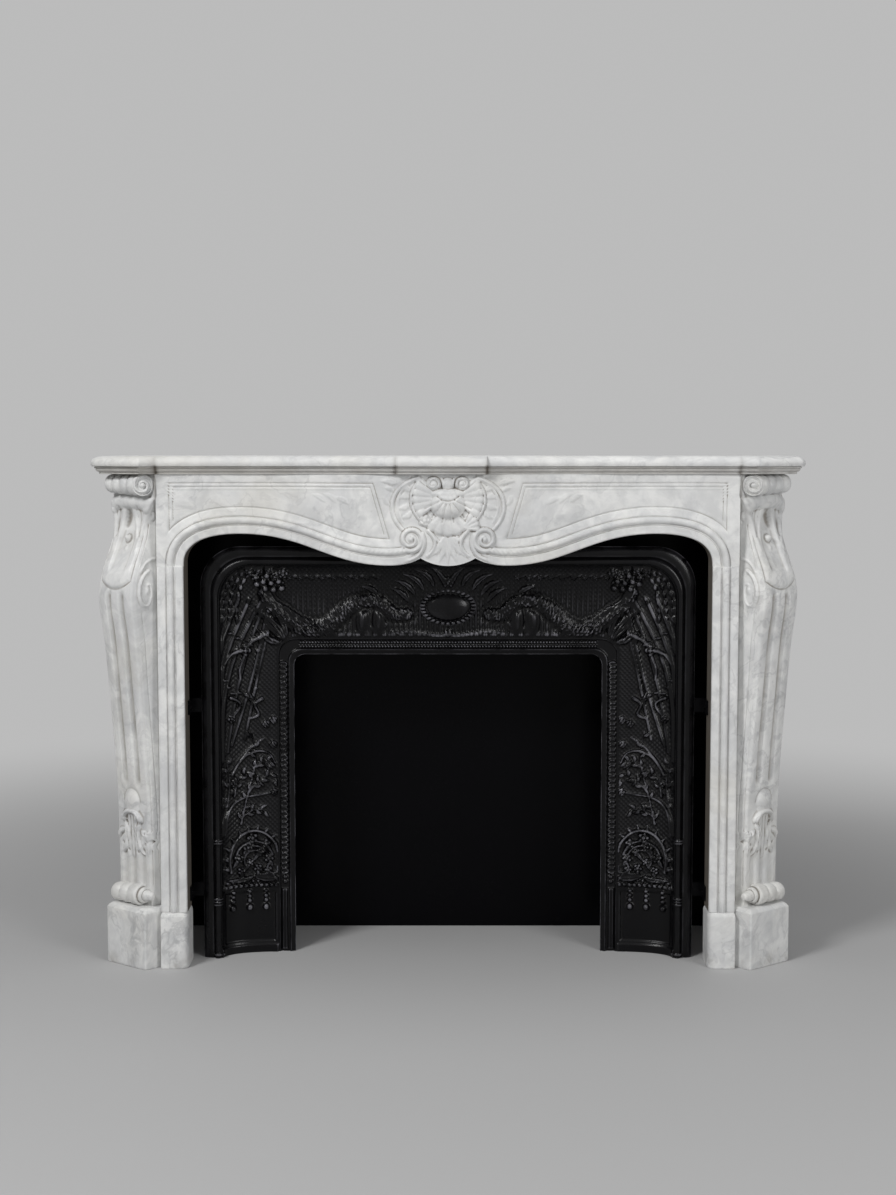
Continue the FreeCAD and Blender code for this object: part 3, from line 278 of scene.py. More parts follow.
    def winding(self, centre, radius, turns, start, handed, width, height, oval=1.0):
        """A band that winds into a volute from a start angle in degrees, with a round eye."""
        share = np.linspace(0, 1, int(40 * turns))
        angle = math.radians(start) + handed * 2 * math.pi * turns * share
        reach = radius * (1 - 0.74 * share ** 1.5)
        across = centre[0] + reach * np.cos(angle)
        up = centre[1] + oval * reach * np.sin(angle)
        index, gap, along = self.along(np.stack([across, up], axis=1), width)
        slim = 1 - 0.45 * along
        self.lay(index, height * bulge(gap / (width / 2 * slim)))
        self.dome(centre, 0.24 * radius, 0.24 * radius * oval, height * 1.15)

    def grid(self, softening=1):
        """The heights as a grid, with the steps between neighbouring points softened."""
        heights = self.height.reshape(self.shape)
        for _ in range(softening):
            padded = np.pad(heights, 1, mode="edge")
            cross = padded[:-2, 1:-1] + padded[2:, 1:-1] + padded[1:-1, :-2] + padded[1:-1, 2:]
            heights = 0.5 * heights + 0.125 * cross
        return heights


# Making meshes

def select(*pieces):
    """Selects these pieces alone, the first one active."""
    bpy.ops.object.select_all(action="DESELECT")
    for piece in pieces:
        piece.select_set(True)
    if pieces:
        bpy.context.view_layer.objects.active = pieces[0]


def named(name):
    """The object that was just made, under its name."""
    piece = bpy.context.object
    piece.name = name
    piece.data.name = name
    return piece


def edit(piece):
    select(piece)
    bpy.ops.object.mode_set(mode="EDIT")
    bpy.ops.mesh.select_mode(type="VERT")
    bpy.ops.mesh.select_all(action="SELECT")


def leave_edit(piece, sharp=50):
    """Turns the faces outwards, shades the piece smooth up to an angle and leaves edit mode."""
    bpy.ops.mesh.select_all(action="SELECT")
    bpy.ops.mesh.normals_make_consistent(inside=False)
    bpy.ops.object.mode_set(mode="OBJECT")
    bpy.ops.object.shade_smooth_by_angle(angle=math.radians(sharp))
    return piece


def move_points(piece, points):
    piece.data.vertices.foreach_set("co", metres(points).astype(np.float32).ravel())
    piece.data.update()


def grid_piece(name, rows, columns):
    select()
    bpy.ops.mesh.primitive_grid_add(x_subdivisions=columns - 1, y_subdivisions=rows - 1)
    return named(name)


def carved_slab(name, points, rear):
    """A grid moved onto a carved face, its edge drawn back to a rear plane and closed there."""
    piece = grid_piece(name, *points.shape[:2])
    move_points(piece, points.reshape(-1, 3))
    edit(piece)
    bpy.ops.mesh.region_to_loop()
    bpy.ops.mesh.extrude_edges_indiv()
    bpy.ops.transform.translate(value=(0, REVEAL_EDGE / 1000, 0))
    bpy.ops.mesh.extrude_edges_indiv()
    rear_y = (WALL_Y - rear) / 1000
    bpy.ops.transform.resize(value=(1, 0, 1), center_override=(0, rear_y, 0))
    bpy.ops.mesh.edge_face_add()
    return leave_edit(piece)


def wrapped(name, rings, sharp=50, ground=None):
    """A closed skin over a row of closed rings: a grid wrapped round, its seam merged and its ends filled.
    The ground, where given, marks the points of the bare ground between the ornaments."""
    rows, around = rings.shape[:2]
    piece = grid_piece(name, rows, around + 1)
    move_points(piece, np.concatenate([rings, rings[:, :1]], axis=1).reshape(-1, 3))
    if ground is not None:
        keep_on_points(piece, "ground", np.concatenate([ground, ground[:, :1]], axis=1).ravel())
    edit(piece)
    bpy.ops.mesh.remove_doubles(threshold=1e-6)
    bpy.ops.mesh.select_all(action="DESELECT")
    bpy.ops.mesh.select_non_manifold(extend=False, use_wire=False, use_multi_face=False,
                                     use_non_contiguous=False, use_verts=False)
    bpy.ops.mesh.fill_holes(sides=0)
    return leave_edit(piece, sharp)


def turned(name, profile, segments, shape):
    """A sphere whose rings are moved onto a profile of (place along the axis, radius).
    The shape function places each point from its place, radius and turn."""
    profile = np.asarray(profile, float)
    rings = len(profile) - 1
    select()
    bpy.ops.mesh.primitive_uv_sphere_add(segments=segments, ring_count=rings, radius=1)
    piece = named(name)
    points = read_points(piece, "co")
    ring = np.rint(np.arccos(np.clip(points[:, 2], -1, 1)) / math.pi * rings).astype(int)
    angle = np.arctan2(points[:, 1], points[:, 0])
    move_points(piece, shape(profile[ring, 0], profile[ring, 1], angle))
    edit(piece)
    return leave_edit(piece)


def joined(name, pieces):
    select(*pieces)
    bpy.ops.object.join()
    result = bpy.context.object
    result.name = name
    return result


def mirrored(piece):
    """The left-hand twin of a right-hand piece."""
    select(piece)
    bpy.ops.object.duplicate()
    twin = named(piece.name.replace("right", "left"))
    edit(twin)
    bpy.ops.transform.resize(value=(-1, 1, 1), center_override=(0, 0, 0))
    return leave_edit(twin)


def read_points(piece, kind):
    """The places ("co") or normals of a mesh's points, one row each."""
    values = np.empty(len(piece.data.vertices) * 3)
    piece.data.vertices.foreach_get(kind, values)
    return values.reshape(-1, 3)


def point_places(piece):
    """Across, along and up of each point, in millimetres."""
    return read_points(piece, "co").T * 1000


def keep_on_points(piece, name, values):
    attribute = piece.data.attributes.new(name, "FLOAT", "POINT")
    attribute.data.foreach_set("value", values.astype(np.float32))


def mark_reveal_shade(piece, front):
    """Paints near-black shade on the sides of the opening behind its front edge, whose forward place the
    front gives.
    """
    across, along, up = point_places(piece)
    behind = front(across) - REVEAL_EDGE + 1 - (WALL_Y - along)
    inside = (np.abs(across) < OPENING_HALF + 2) & (behind > 0) & (up < SHELF_TOP - 100)
    keep_on_points(piece, "stain_and_shade", 2.0 * inside)


def mark_hollows(piece, rounds, depth, calm=None):
    """Keeps on each point how far it lies below its smoothed surroundings, or above them where negative.
    The calm, where given, takes points of across, along and up and fades what lies there."""
    mesh = piece.data
    count = len(mesh.vertices)
    places = read_points(piece, "co")
    ends = np.empty(len(mesh.edges) * 2, dtype=np.int32)
    mesh.edges.foreach_get("vertices", ends)
    first, second = ends.reshape(-1, 2).T
    shares = np.maximum(np.bincount(ends, minlength=count), 1)
    soft = places.copy()
    for _ in range(rounds):
        for axis in range(3):
            total = np.bincount(first, soft[second, axis], count)
            total = total + np.bincount(second, soft[first, axis], count)
            soft[:, axis] = 0.4 * soft[:, axis] + 0.6 * total / shares
    below = ((soft - places) * read_points(piece, "normal")).sum(axis=1) * 1000 / depth
    if calm:
        below = below * calm(*point_places(piece))
    keep_on_points(piece, "hollow", below)


def dress(piece, node_name, material):
    piece.data.materials.clear()
    piece.data.materials.append(material)
    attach(piece, "root")
    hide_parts(node_name)


def dress_pair(right, stem, marbles):
    """Gives a right-hand stone its left-hand twin, and both their marble."""
    for side, piece in (("right", right), ("left", mirrored(right))):
        dress(piece, f"{side}_{stem}", marbles[side])


# Finishes

class Wiring:
    """Adds shader nodes to a tree, linking or setting their inputs."""

    def __init__(self, tree):
        self.tree = tree

    def node(self, kind, inputs=(), **settings):
        node = self.tree.nodes.new(kind)
        for setting, value in settings.items():
            setattr(node, setting, value)
        for socket, value in dict(inputs).items():
            self.feed(node.inputs[socket], value)
        return node

    def feed(self, socket, value):
        if isinstance(value, bpy.types.NodeSocket):
            self.tree.links.new(value, socket)
        else:
            socket.default_value = value

    def math(self, operation, a, b=0.0, c=0.0):
        return self.node("ShaderNodeMath", {0: a, 1: b, 2: c}, operation=operation).outputs[0]

    def times(self, a, b):
        return self.math("MULTIPLY", a, b)

    def noise(self, vector, scale, detail=4.0, roughness=0.55, output=0):
        inputs = {"Vector": vector, "Scale": scale, "Detail": detail, "Roughness": roughness}
        return self.node("ShaderNodeTexNoise", inputs).outputs[output]

    def step(self, value, low, high, to_low=0.0, to_high=1.0):
        inputs = {"Value": value, "From Min": low, "From Max": high, "To Min": to_low, "To Max": to_high}
        return self.node("ShaderNodeMapRange", inputs, interpolation_type="SMOOTHSTEP").outputs["Result"]

    def patchy(self, vector, scale, detail, low, high, roughness=0.55):
        """Soft-edged patches where a noise rises from low to high."""
        return self.step(self.noise(vector, scale, detail, roughness), low, high)

    def blend(self, share, a, b):
        return self.node("ShaderNodeMix", {0: share, 6: a, 7: b}, data_type="RGBA").outputs[2]

    def vector(self, operation, a, b):
        return self.node("ShaderNodeVectorMath", {0: a, 1: b}, operation=operation).outputs["Vector"]

    def turned_coords(self, vector, turn, scale):
        inputs = {"Vector": vector, "Rotation": turn, "Scale": scale}
        return self.node("ShaderNodeMapping", inputs).outputs["Vector"]

    def vein(self, vector, scale, detail, low):
        """Thin winding lines where a noise crosses its middle."""
        offset = self.math("SUBTRACT", self.noise(vector, scale, detail), 0.5)
        return self.step(self.math("ABSOLUTE", offset), low, 0.0)

    def attribute(self, name):
        return self.node("ShaderNodeAttribute", attribute_name=name).outputs["Fac"]


def new_group(name, inputs):
    """A node group with its own inputs and the outputs that every finish has."""
    group = bpy.data.node_groups.new(name, "ShaderNodeTree")
    outputs = {"Color": "Color", "Roughness": "Float", "Height": "Float"}
    for in_out, sockets in (("INPUT", inputs), ("OUTPUT", outputs)):
        for socket, kind in sockets.items():
            group.interface.new_socket(socket, in_out=in_out, socket_type="NodeSocket" + kind)
    wires = Wiring(group)
    inlet = wires.node("NodeGroupInput").outputs
    outlet = wires.node("NodeGroupOutput").inputs
    coords = wires.node("ShaderNodeTexCoord").outputs["Object"]
    return group, wires, inlet, outlet, coords


def carrara_group():
    """Cloudy white stone with grey veins; soiling and painted shade darken its hollows, painted shade
    darkens a shelf's bed below its nose, and patches darken it along the floor.
    """
    group, w, inlet, outlet, coords = new_group("carrara_stone", {
        "Shift": "Vector", "Grime_And_Shade": "Float", "Bed_Shade": "Float", "Wear": "Float", "Veining": "Float"})
    block = w.vector("ADD", coords, inlet["Shift"])
    swirl = w.vector("SUBTRACT", w.noise(block, 2.4, output=1), (0.5, 0.5, 0.5))
    bent = w.vector("ADD", block, w.vector("MULTIPLY", swirl, (0.3, 0.3, 0.3)))
    along = w.turned_coords(bent, (0.35, 0.6, 0.9), (1.0, 2.2, 1.0))
    aslant = w.turned_coords(bent, (1.1, 0.2, 0.5), (1.0, 1.9, 1.0))
    height = w.node("ShaderNodeSeparateXYZ", {0: coords}).outputs["Z"]
    clouds = w.patchy(along, 6.5, 6.0, 0.40, 0.70, 0.62)
    patches = w.patchy(block, 3.2, 3.0, 0.38, 0.66)
    drawn = w.times(w.math("MULTIPLY_ADD", patches, 0.7, 0.3), inlet["Veining"])
    veins = w.times(w.vein(along, 4.2, 7.0, 0.040), drawn)
    threads = w.times(w.vein(aslant, 9.5, 6.0, 0.026), drawn)
    mottle = w.patchy(aslant, 26.0, 6.0, 0.36, 0.66, 0.6)
    spots = w.times(w.patchy(block, 34.0, 1.0, 0.62, 0.70), patches)
    aged = w.patchy(aslant, 3.6, 5.0, 0.50, 0.72)
    spread = w.math("MULTIPLY_ADD", w.noise(block, 17.0, 5.0), 1.3, 0.2)
    # Darkens the hollows: real soiling there, and painted shade in the carving's recesses, where shade
    # falls.
    hollow = w.step(w.attribute("hollow"), 0.1, 1.3)
    dirt_and_shade = w.times(w.times(hollow, spread), inlet["Grime_And_Shade"])
    damp = w.times(w.step(height, 0.045, 0.0), w.patchy(block, 24.0, 6.0, 0.45, 0.7))
    # Painted shade: darkens the stone below the shelf's nose, where the nose shades its bed.
    bed_shade = w.times(w.step(height, 1.0675, 1.0652), w.times(spread, inlet["Bed_Shade"]))
    # Stains and dark joint lines, and near-black painted shade on the opening's reveal.
    stain_and_shade = w.math("MINIMUM", w.times(w.attribute("stain_and_shade"), spread), 0.93)
    pits = w.patchy(block, 62.0, 3.0, 0.70, 0.76)
    layers = (
        (w.times(clouds, 0.75), (0.62, 0.627, 0.635, 1)),
        (w.times(mottle, 0.5), (0.57, 0.573, 0.572, 1)),
        (w.times(veins, 0.48), (0.43, 0.437, 0.45, 1)),
        (w.times(threads, 0.52), (0.36, 0.363, 0.37, 1)),
        (w.times(spots, w.times(inlet["Veining"], 0.55)), (0.36, 0.367, 0.38, 1)),
        (w.times(aged, 0.35), (0.66, 0.635, 0.565, 1)),
        (w.math("MINIMUM", dirt_and_shade, 0.85), (0.25, 0.225, 0.195, 1)),
        (w.times(damp, 0.6), (0.33, 0.31, 0.28, 1)),
        (bed_shade, (0.33, 0.30, 0.26, 1)),
        (stain_and_shade, (0.10, 0.082, 0.062, 1)),
        (w.times(pits, 0.3), (0.42, 0.40, 0.37, 1)))
    stone = (0.835, 0.835, 0.82, 1)
    for share, colour in layers:
        stone = w.blend(share, stone, colour)
    w.feed(outlet["Color"], stone)
    worn = w.math("ADD", inlet["Wear"], w.math("MULTIPLY_ADD", dirt_and_shade, 0.3, 0.37))
    w.feed(outlet["Roughness"], w.math("MULTIPLY_ADD", clouds, 0.10, worn))
    skin = w.times(w.noise(block, 340.0, 2.0), 0.25)
    w.feed(outlet["Height"], w.math("SUBTRACT", skin, pits))
    return group


def cast_iron_group():
    """Blackened cast iron: sandy skin, hatched ground, raised edges worn and given a painted highlight, a
    little brighter.
    """
    group, w, inlet, outlet, coords = new_group("cast_iron_skin", {"Hatching": "Float"})
    hollow = w.attribute("hollow")
    bare = w.attribute("ground")
    # Raised edges made brighter: wear, and a painted highlight.
    rubbed_and_highlight = w.times(w.step(hollow, -0.3, -1.6), w.patchy(coords, 26.0, 4.0, 0.3, 0.7))
    iron = w.blend(rubbed_and_highlight, (0.0022, 0.0021, 0.0027, 1), (0.165, 0.163, 0.182, 1))
    hatch = 0.0
    for turn in (math.pi / 4, -math.pi / 4):
        inputs = {"Vector": w.turned_coords(coords, (0, turn, 0), (1, 1, 1)), "Scale": 44.0}
        lines = w.node("ShaderNodeTexWave", inputs, bands_direction="X").outputs[1]
        hatch = w.math("ADD", hatch, lines)
    ground = w.times(bare, inlet["Hatching"])
    # The hatch's ridges on the bare ground made lighter: wear, and a painted highlight.
    raised = w.times(w.step(hatch, 1.0, 2.0), ground)
    iron = w.blend(w.times(raised, 0.22), iron, (0.030, 0.030, 0.034, 1))
    dust = w.times(w.step(hollow, 0.2, 1.4), w.noise(coords, 15.0))
    w.feed(outlet["Color"], w.blend(dust, iron, (0.010, 0.0095, 0.009, 1)))
    cloudy = w.step(w.noise(coords, 9.0, 5.0), 0.3, 0.7, 0.17, 0.29)
    dull = w.math("MULTIPLY_ADD", dust, 0.2, w.times(bare, 0.16))
    w.feed(outlet["Roughness"], w.math("ADD", cloudy, dull))
    grain = w.times(w.noise(coords, 420.0, 3.0), 0.5)
    w.feed(outlet["Height"], w.math("ADD", grain, w.times(hatch, ground)))
    return group


CARRARA = carrara_group()
CAST_SKIN = cast_iron_group()


def finish(name, group, values, bump, gloss):
    """A material whose colour, roughness and bump come from a node group with its own values."""
    material = bpy.data.materials.new(name)
    material.use_nodes = True
    w = Wiring(material.node_tree)
    shader = material.node_tree.nodes["Principled BSDF"].inputs
    shader["Specular IOR Level"].default_value = gloss
    skin = w.node("ShaderNodeGroup", values, node_tree=group).outputs
    bumps = {"Height": skin["Height"], "Strength": bump, "Distance": 0.001}
    w.feed(shader["Base Color"], skin["Color"])
    w.feed(shader["Roughness"], skin["Roughness"])
    w.feed(shader["Normal"], w.node("ShaderNodeBump", bumps).outputs["Normal"])
    return material


def marble(name, shift, grime_and_shade=1.0, bed_shade=0.0, wear=0.0, veining=1.0):
    values = {"Shift": shift, "Grime_And_Shade": grime_and_shade, "Bed_Shade": bed_shade, "Wear": wear, "Veining": veining}
    return finish("marble_" + name, CARRARA, values, 0.18, 0.3)


def cast_iron(name, hatching, gloss):
    return finish(name, CAST_SKIN, {"Hatching": hatching}, 0.35, gloss)


# The shelf gets strong darkening in its hollows, and painted shade on its bed below the nose.
SHELF_MARBLE = marble("shelf", (3.1, 0.4, 1.2), 2.7, 0.5, 0.4, 0.5)
FRIEZE_MARBLE = marble("frieze", (0.0, 0.0, 0.0), 1.6, veining=0.5)
CONSOLE_MARBLE = {"right": marble("right_console", (7.3, 2.2, 0.5), veining=0.65),
                  "left": marble("left_console", (1.9, 5.1, 2.7), veining=0.65)}
SLIP_MARBLE = {"right": marble("right_slip", (4.4, 8.0, 3.3), veining=0.65),
               "left": marble("left_slip", (9.2, 1.3, 6.1), veining=0.65)}
BLOCK_MARBLE = {"right": marble("right_blocks", (2.6, 3.7, 9.4), veining=0.8),
                "left": marble("left_blocks", (6.6, 7.9, 4.8), veining=0.8)}
INSERT_IRON = cast_iron("insert_cast_iron", 1.6, 0.21)
FIXING_IRON = cast_iron("fixing_iron", 0.0, 0.08)
SHEET_IRON = cast_iron("black_back_sheet", 0.0, 0.06)


# Shelf

BREAK_LEFT = 108
BREAK_RIGHT = 81
BLOCK_INNER = 608
SHELF_HOLLOW = 26
SHELF_OVERHANG = 18
BREAK_STEP = 8
BLOCK_STEP = 26


def shelf_half(inset, break_x):
    """Half of the shelf's plan from its middle: forward break, hollow run and canted end block."""
    half = SHELF_HALF - inset
    front = SHELF_FRONT - inset
    run_start = front - BREAK_STEP
    lip = SHELF_OVERHANG - inset
    corner = (CORNER_X + lip * (CANT_SIN - CANT_COS), FRIEZE_FRONT + lip * (CANT_COS + CANT_SIN))
    run_end = FRIEZE_FRONT + SHELF_OVERHANG * (CANT_COS + CANT_SIN) - BLOCK_STEP - inset
    side = corner[1] - (half - corner[0]) * math.tan(SHELF_CANT)
    share = np.linspace(0, 1, 120)
    run_x = break_x + (BLOCK_INNER - break_x) * share
    run_b = run_start + (run_end - run_start) * share - 4 * SHELF_HOLLOW * share * (1 - share)
    face = [(BLOCK_INNER + (corner[0] - BLOCK_INNER) * part, run_end + (corner[1] - run_end) * part)
            for part in (0, 0.15, 0.35, 1)]
    middle = [(place, front) for place in (0, break_x - 16, break_x - 6, break_x)]
    run = [(break_x, run_start), *zip(run_x[1:], run_b[1:])]
    inner = rounded(middle + run, {3: 2, 4: 1})
    tail = rounded([(run_x[-2], run_b[-2])] + face + [(half, side), (half, 0), (0, 0)],
                   {1: 1.5, 4: 5, 5: 14 - 0.3 * inset, 6: 2})
    return np.concatenate([inner[:-1], tail[1:-1]])


def shelf_outline(inset):
    """The shelf's plan, drawn in from its nose by an inset, as points of across and forward."""
    right = shelf_half(inset, BREAK_RIGHT)
    left = shelf_half(inset, BREAK_LEFT) * (-1, 1)
    return np.concatenate([right, left[1:][::-1]])


def rounded(corners, radii, steps=6):
    """A path whose named corners are rounded by an arc."""
    corners = np.array(corners, float)
    path = []
    for k, corner in enumerate(corners):
        if k not in radii:
            path.append(corner)
            continue
        start, end = [corner + unit(run) * min(radii[k], 0.45 * np.hypot(*run))
                      for run in (corners[k - 1] - corner, corners[k + 1] - corner)]
        for t in np.linspace(0, 1, steps):
            path.append((1 - t) ** 2 * start + 2 * t * (1 - t) * corner + t ** 2 * end)
    return np.array(path)


def stacked(outline, profile):
    """Rings of one plan at several heights, each drawn in by its own inset."""
    rings = []
    for inset, height in profile:
        plan = outline(inset)
        rings.append(np.column_stack([plan, np.full(len(plan), height)]))
    return np.array(rings)


def shelf_profile():
    """The edge of the shelf from its bed up to its top: fillet, cove, small roll and rounded nose."""
    swell = NOSE_FOOT + 7
    profile = [(19, 1050), (17, 1050), (16.3, 1050.6), (16, 1051.5), (16, 1053.5), (16.4, 1054.3)]
    profile += [(16 - 6.5 * sin, 1061 - 6.3 * cos) for cos, sin in arc(0, 90, 9)]
    profile += [(10.8, 1061.2), (10.9, 1062)]
    profile += [(9.4 - 2.6 * cos, 1063.7 + 2.0 * sin) for cos, sin in arc(-70, 80, 9)]
    profile += [(7.4, NOSE_FOOT - 0.2), (4.4, NOSE_FOOT - 0.1)]
    profile += [(3 - 3 * sin, swell - 7 * cos) for cos, sin in arc(0, 80, 7)]
    profile += [(24 - 24 * cos, swell + (SHELF_TOP - swell) * sin) for cos, sin in arc(0, 90, 22)]
    return profile + [(27, SHELF_TOP)]


def below_top(_across, _along, up):
    """1 on the shelf's edge, fading to 0 on its flat top."""
    return ease(SHELF_TOP - 0.5, SHELF_TOP - 4, up)


def make_shelf():
    piece = wrapped("shelf_moulded", stacked(shelf_outline, shelf_profile()))
    mark_hollows(piece, 6, 0.8, below_top)
    across, along, up = point_places(piece)
    stain_and_shade = 0
    for corner in (-BLOCK_INNER, -BREAK_LEFT, BREAK_RIGHT, BLOCK_INNER):
        stain_and_shade = stain_and_shade + np.exp(-((across - corner) / 4.5) ** 2)
    stain_and_shade = stain_and_shade * (1 - 0.75 * ease(NOSE_FOOT - 1, NOSE_FOOT + 6, up))
    keep_on_points(piece, "stain_and_shade", stain_and_shade * below_top(across, along, up))
    dress(piece, "shelf", SHELF_MARBLE)


# Frieze: a carved face that runs from the arch to the stone's outer edge

ARCH_CORNER = [(554, 862), (554, 909), (502, 925), (439, 925)]
ARCH_SWEEP = [(439, 925), (298, 925), (251, 860), (125, 860)]
ARCH_HOOK = [(125, 860), (91, 860), (71, 868), (57, 876)]
MOULDING_ROWS = [0, 0.5, 1.2, 2.2, 4, 6.5, 9, 11.5, 14, 15.6, 16.4, 17, 17.5, 19, 20.4, 21, 21.2, 21.8, 22.8,
                 24, 25.5, 27, 28.5, 30, 31.5, 33, 34.2, 35.2, 35.8, 36, 36.5, 37.5, 39, 40]
FIELD_ROWS = 92
LOBE_RADIUS = 109.5
LOBE_HALF = 57
ARCH_LOW = 860
ROLL_MIDDLE = 28.5
ROLL_HALF = 7.5
PANEL_TOP = 1031
PANEL_SIDE = 583
PANEL_BAND = 56
LINE_DEPTH = 2.2
LINE_HALF = 2.3
FRIEZE_STATIONS = [-610, -352.5, -95, 0, 95, 352.5, 610]
FRIEZE_BOW = [338, 325, 358, 362, 358, 325, 338]


def arch_edge():
    """The right half of the frieze's lower edge, from the joint with the slip to the centre."""
    turn = np.linspace(math.asin(LOBE_HALF / LOBE_RADIUS), 0, 48)
    lobe = np.stack([LOBE_RADIUS * np.sin(turn), ARCH_LOW + LOBE_RADIUS * (1 - np.cos(turn))], axis=1)
    leg = [(OPENING_HALF, FRIEZE_FOOT), (OPENING_HALF, FRIEZE_FOOT + 2.5)]
    curves = bezier(ARCH_CORNER, 70), bezier(ARCH_SWEEP, 150), bezier(ARCH_HOOK, 56)
    return np.concatenate([leg, *curves, lobe])


def frieze_layout():
    """The right half of the frieze's face as a grid of across and up, rows from the arch outwards."""
    edge = arch_edge()
    count = len(edge)
    corner_column = 34
    corner_end = 72
    tangent = unit(np.gradient(edge, axis=0))
    inward = np.stack([tangent[:, 1], -tangent[:, 0]], axis=1)
    upright = ease(140, 90, edge[:, 0])[:, None]
    inward = unit(inward * (1 - upright) + np.array([0, 1]) * upright)
    straight = int(np.argmax(edge[:, 0] < 300))
    columns = [corner_column, corner_end, straight]
    top_x = np.interp(np.arange(count), columns, [JOINT_HALF, 455, edge[straight, 0]])
    top_x[straight:] = edge[straight:, 0]
    outer = np.stack([top_x, np.full(count, float(FRIEZE_TOP))], axis=1)
    side = np.linspace(FRIEZE_FOOT, FRIEZE_TOP, corner_column + 1)
    outer[:corner_column + 1] = np.stack([np.full(corner_column + 1, float(JOINT_HALF)), side], axis=1)
    band = edge[None] + np.array(MOULDING_ROWS)[:, None, None] * inward[None]
    share = np.linspace(0, 1, FIELD_ROWS + 1)[1:, None, None]
    field = band[-1][None] * (1 - share) + outer[None] * share
    return np.concatenate([band, field]), edge


def moulding(distance):
    """Lip, groove and roll by the distance from the arch's edge."""
    lip = 4 * bulge(np.clip((2.4 - distance) / 2.4, 0, 1)) * ease(17.4, 16.4, distance)
    quirk = -4.0 * ease(16.6, 17.8, distance) * ease(21.5, 20.4, distance)
    roll = ROLL_HALF * bulge((distance - ROLL_MIDDLE) / ROLL_HALF)
    line = -LINE_DEPTH * dip((distance - 36.6) / 1.7)
    return np.maximum(lip + quirk, roll) + line


def frieze_mouldings(carving, edge):
    """The mouldings round the arch, with the leafy twist of the roll towards the scrolls."""
    path = edge[edge[:, 0] >= LOBE_HALF - 1]
    distance, _ = carving.measure(np.arange(carving.x.size), path)
    height = moulding(distance)
    on_roll = (distance > 21) & (distance < 36)
    twist = 0.9 * np.sin(2 * math.pi * (carving.x + 0.9 * distance) / 10)
    from_rim = ROLL_HALF - np.abs(distance - ROLL_MIDDLE)
    height += np.where(on_roll, twist, 0) * ease(215, 160, carving.x) * ease(0, 3, from_rim)
    beside = ease(70, 92, carving.x + 0.3 * (carving.z - 880))
    from_eye = np.hypot(carving.x - VOLUTE[0], carving.z - VOLUTE[1])
    carving.height += height * beside * (1 - ease(VOLUTE_RADIUS + 4, VOLUTE_RADIUS, from_eye))
    return distance


def frieze_panel(carving, distance):
    """The panel: two incised lines along its straight sides, and one in a soft hollow above the arch."""
    slant = carving.x - (123 + (carving.z - 918) * 0.29)
    straight = np.minimum(np.minimum(PANEL_TOP - carving.z, PANEL_SIDE - carving.x), slant)
    curved = distance - PANEL_BAND
    carving.height -= LINE_DEPTH * dip(np.minimum(straight, curved) / LINE_HALF)
    carving.height -= LINE_DEPTH * dip((straight - 8) / LINE_HALF) * ease(4, 12, curved)
    carving.height -= 2.6 * ease(-18, 0, curved) * ease(22, 1, curved) * ease(-12, 4, straight)
    carving.height -= 1.2 * ease(9, 16, straight) * ease(4, 22, curved)
    worn_leaves = (((205, 988), (240, 1002), 3), ((232, 990), (262, 1010), 4), ((255, 992), (284, 1008), 3))
    carving.leaves(worn_leaves, 11, 1.4, base=-1.2)


def shell_sides(carving):
    """What both halves of the carved centre share, drawn on the right."""
    carving.dome(VOLUTE, VOLUTE_RADIUS, VOLUTE_RADIUS, 4)
    carving.winding(VOLUTE, VOLUTE_RADIUS + 1, 1.5, 292, -1, 12, 8.5)
    carving.dome((30.5, 1030), 15, 15, 10)
    carving.winding((30.5, 1030), 12.5, 1.15, 200, -1, 7, 12.5)
    carving.fan((10, 1000), 20, 66, -40, 35, 5, 9, hollow=0.25)
    stalk = [(54, 926), (50, 911), (53, 895), (62, 882), (76, 873.5), (98, 869.5), (126, 868), (165, 870)]
    carving.cord(stalk, 10, 7, 0.35)
    carving.cord([(41, 933), (27, 912), (31, 893), (44, 880)], 8, 7, 0.6)
    carving.cord([(33, 925), (18, 905), (24, 884)], 5, 5, 0.5)
    carving.cord([(60, 1036), (73, 1018), (77, 998), (71, 974), (60, 957)], 5, 5.5)
    carving.cord([(62, 1043), (92, 1028), (113, 1002), (116, 977), (107, 951), (95, 936)], 8, 5.5, 0.75)
    carving.cord([(72, 1037), (94, 1019), (104, 996), (103, 972), (94, 950)], 6, 3.2, 0.7)
    between_bands = (((78, 1016), (99, 1021), 4), ((80, 1002), (104, 1001), 3),
                     ((80, 988), (104, 980), -3), ((75, 974), (97, 960), -4))
    carving.leaves(between_bands, 13, 2.8, 3)
    for start, tip, width, height, bow, lobes in (
            ((106, 1030), (140, 1036), 14, 4, 3, 4), ((112, 1016), (132, 1022), 10, 3, 2, 3),
            ((121, 985), (134, 1008), 9, 2.5, -2, 0), ((42, 1020), (76, 1045), 18, 6, 3, 3),
            ((4, 922), (42, 878), 17, 3.5, -4, 4), ((2, 920), (20, 866), 13, 3.5, -2, 4)):
        carving.leaf(start, tip, width, height, bow, lobes=lobes)


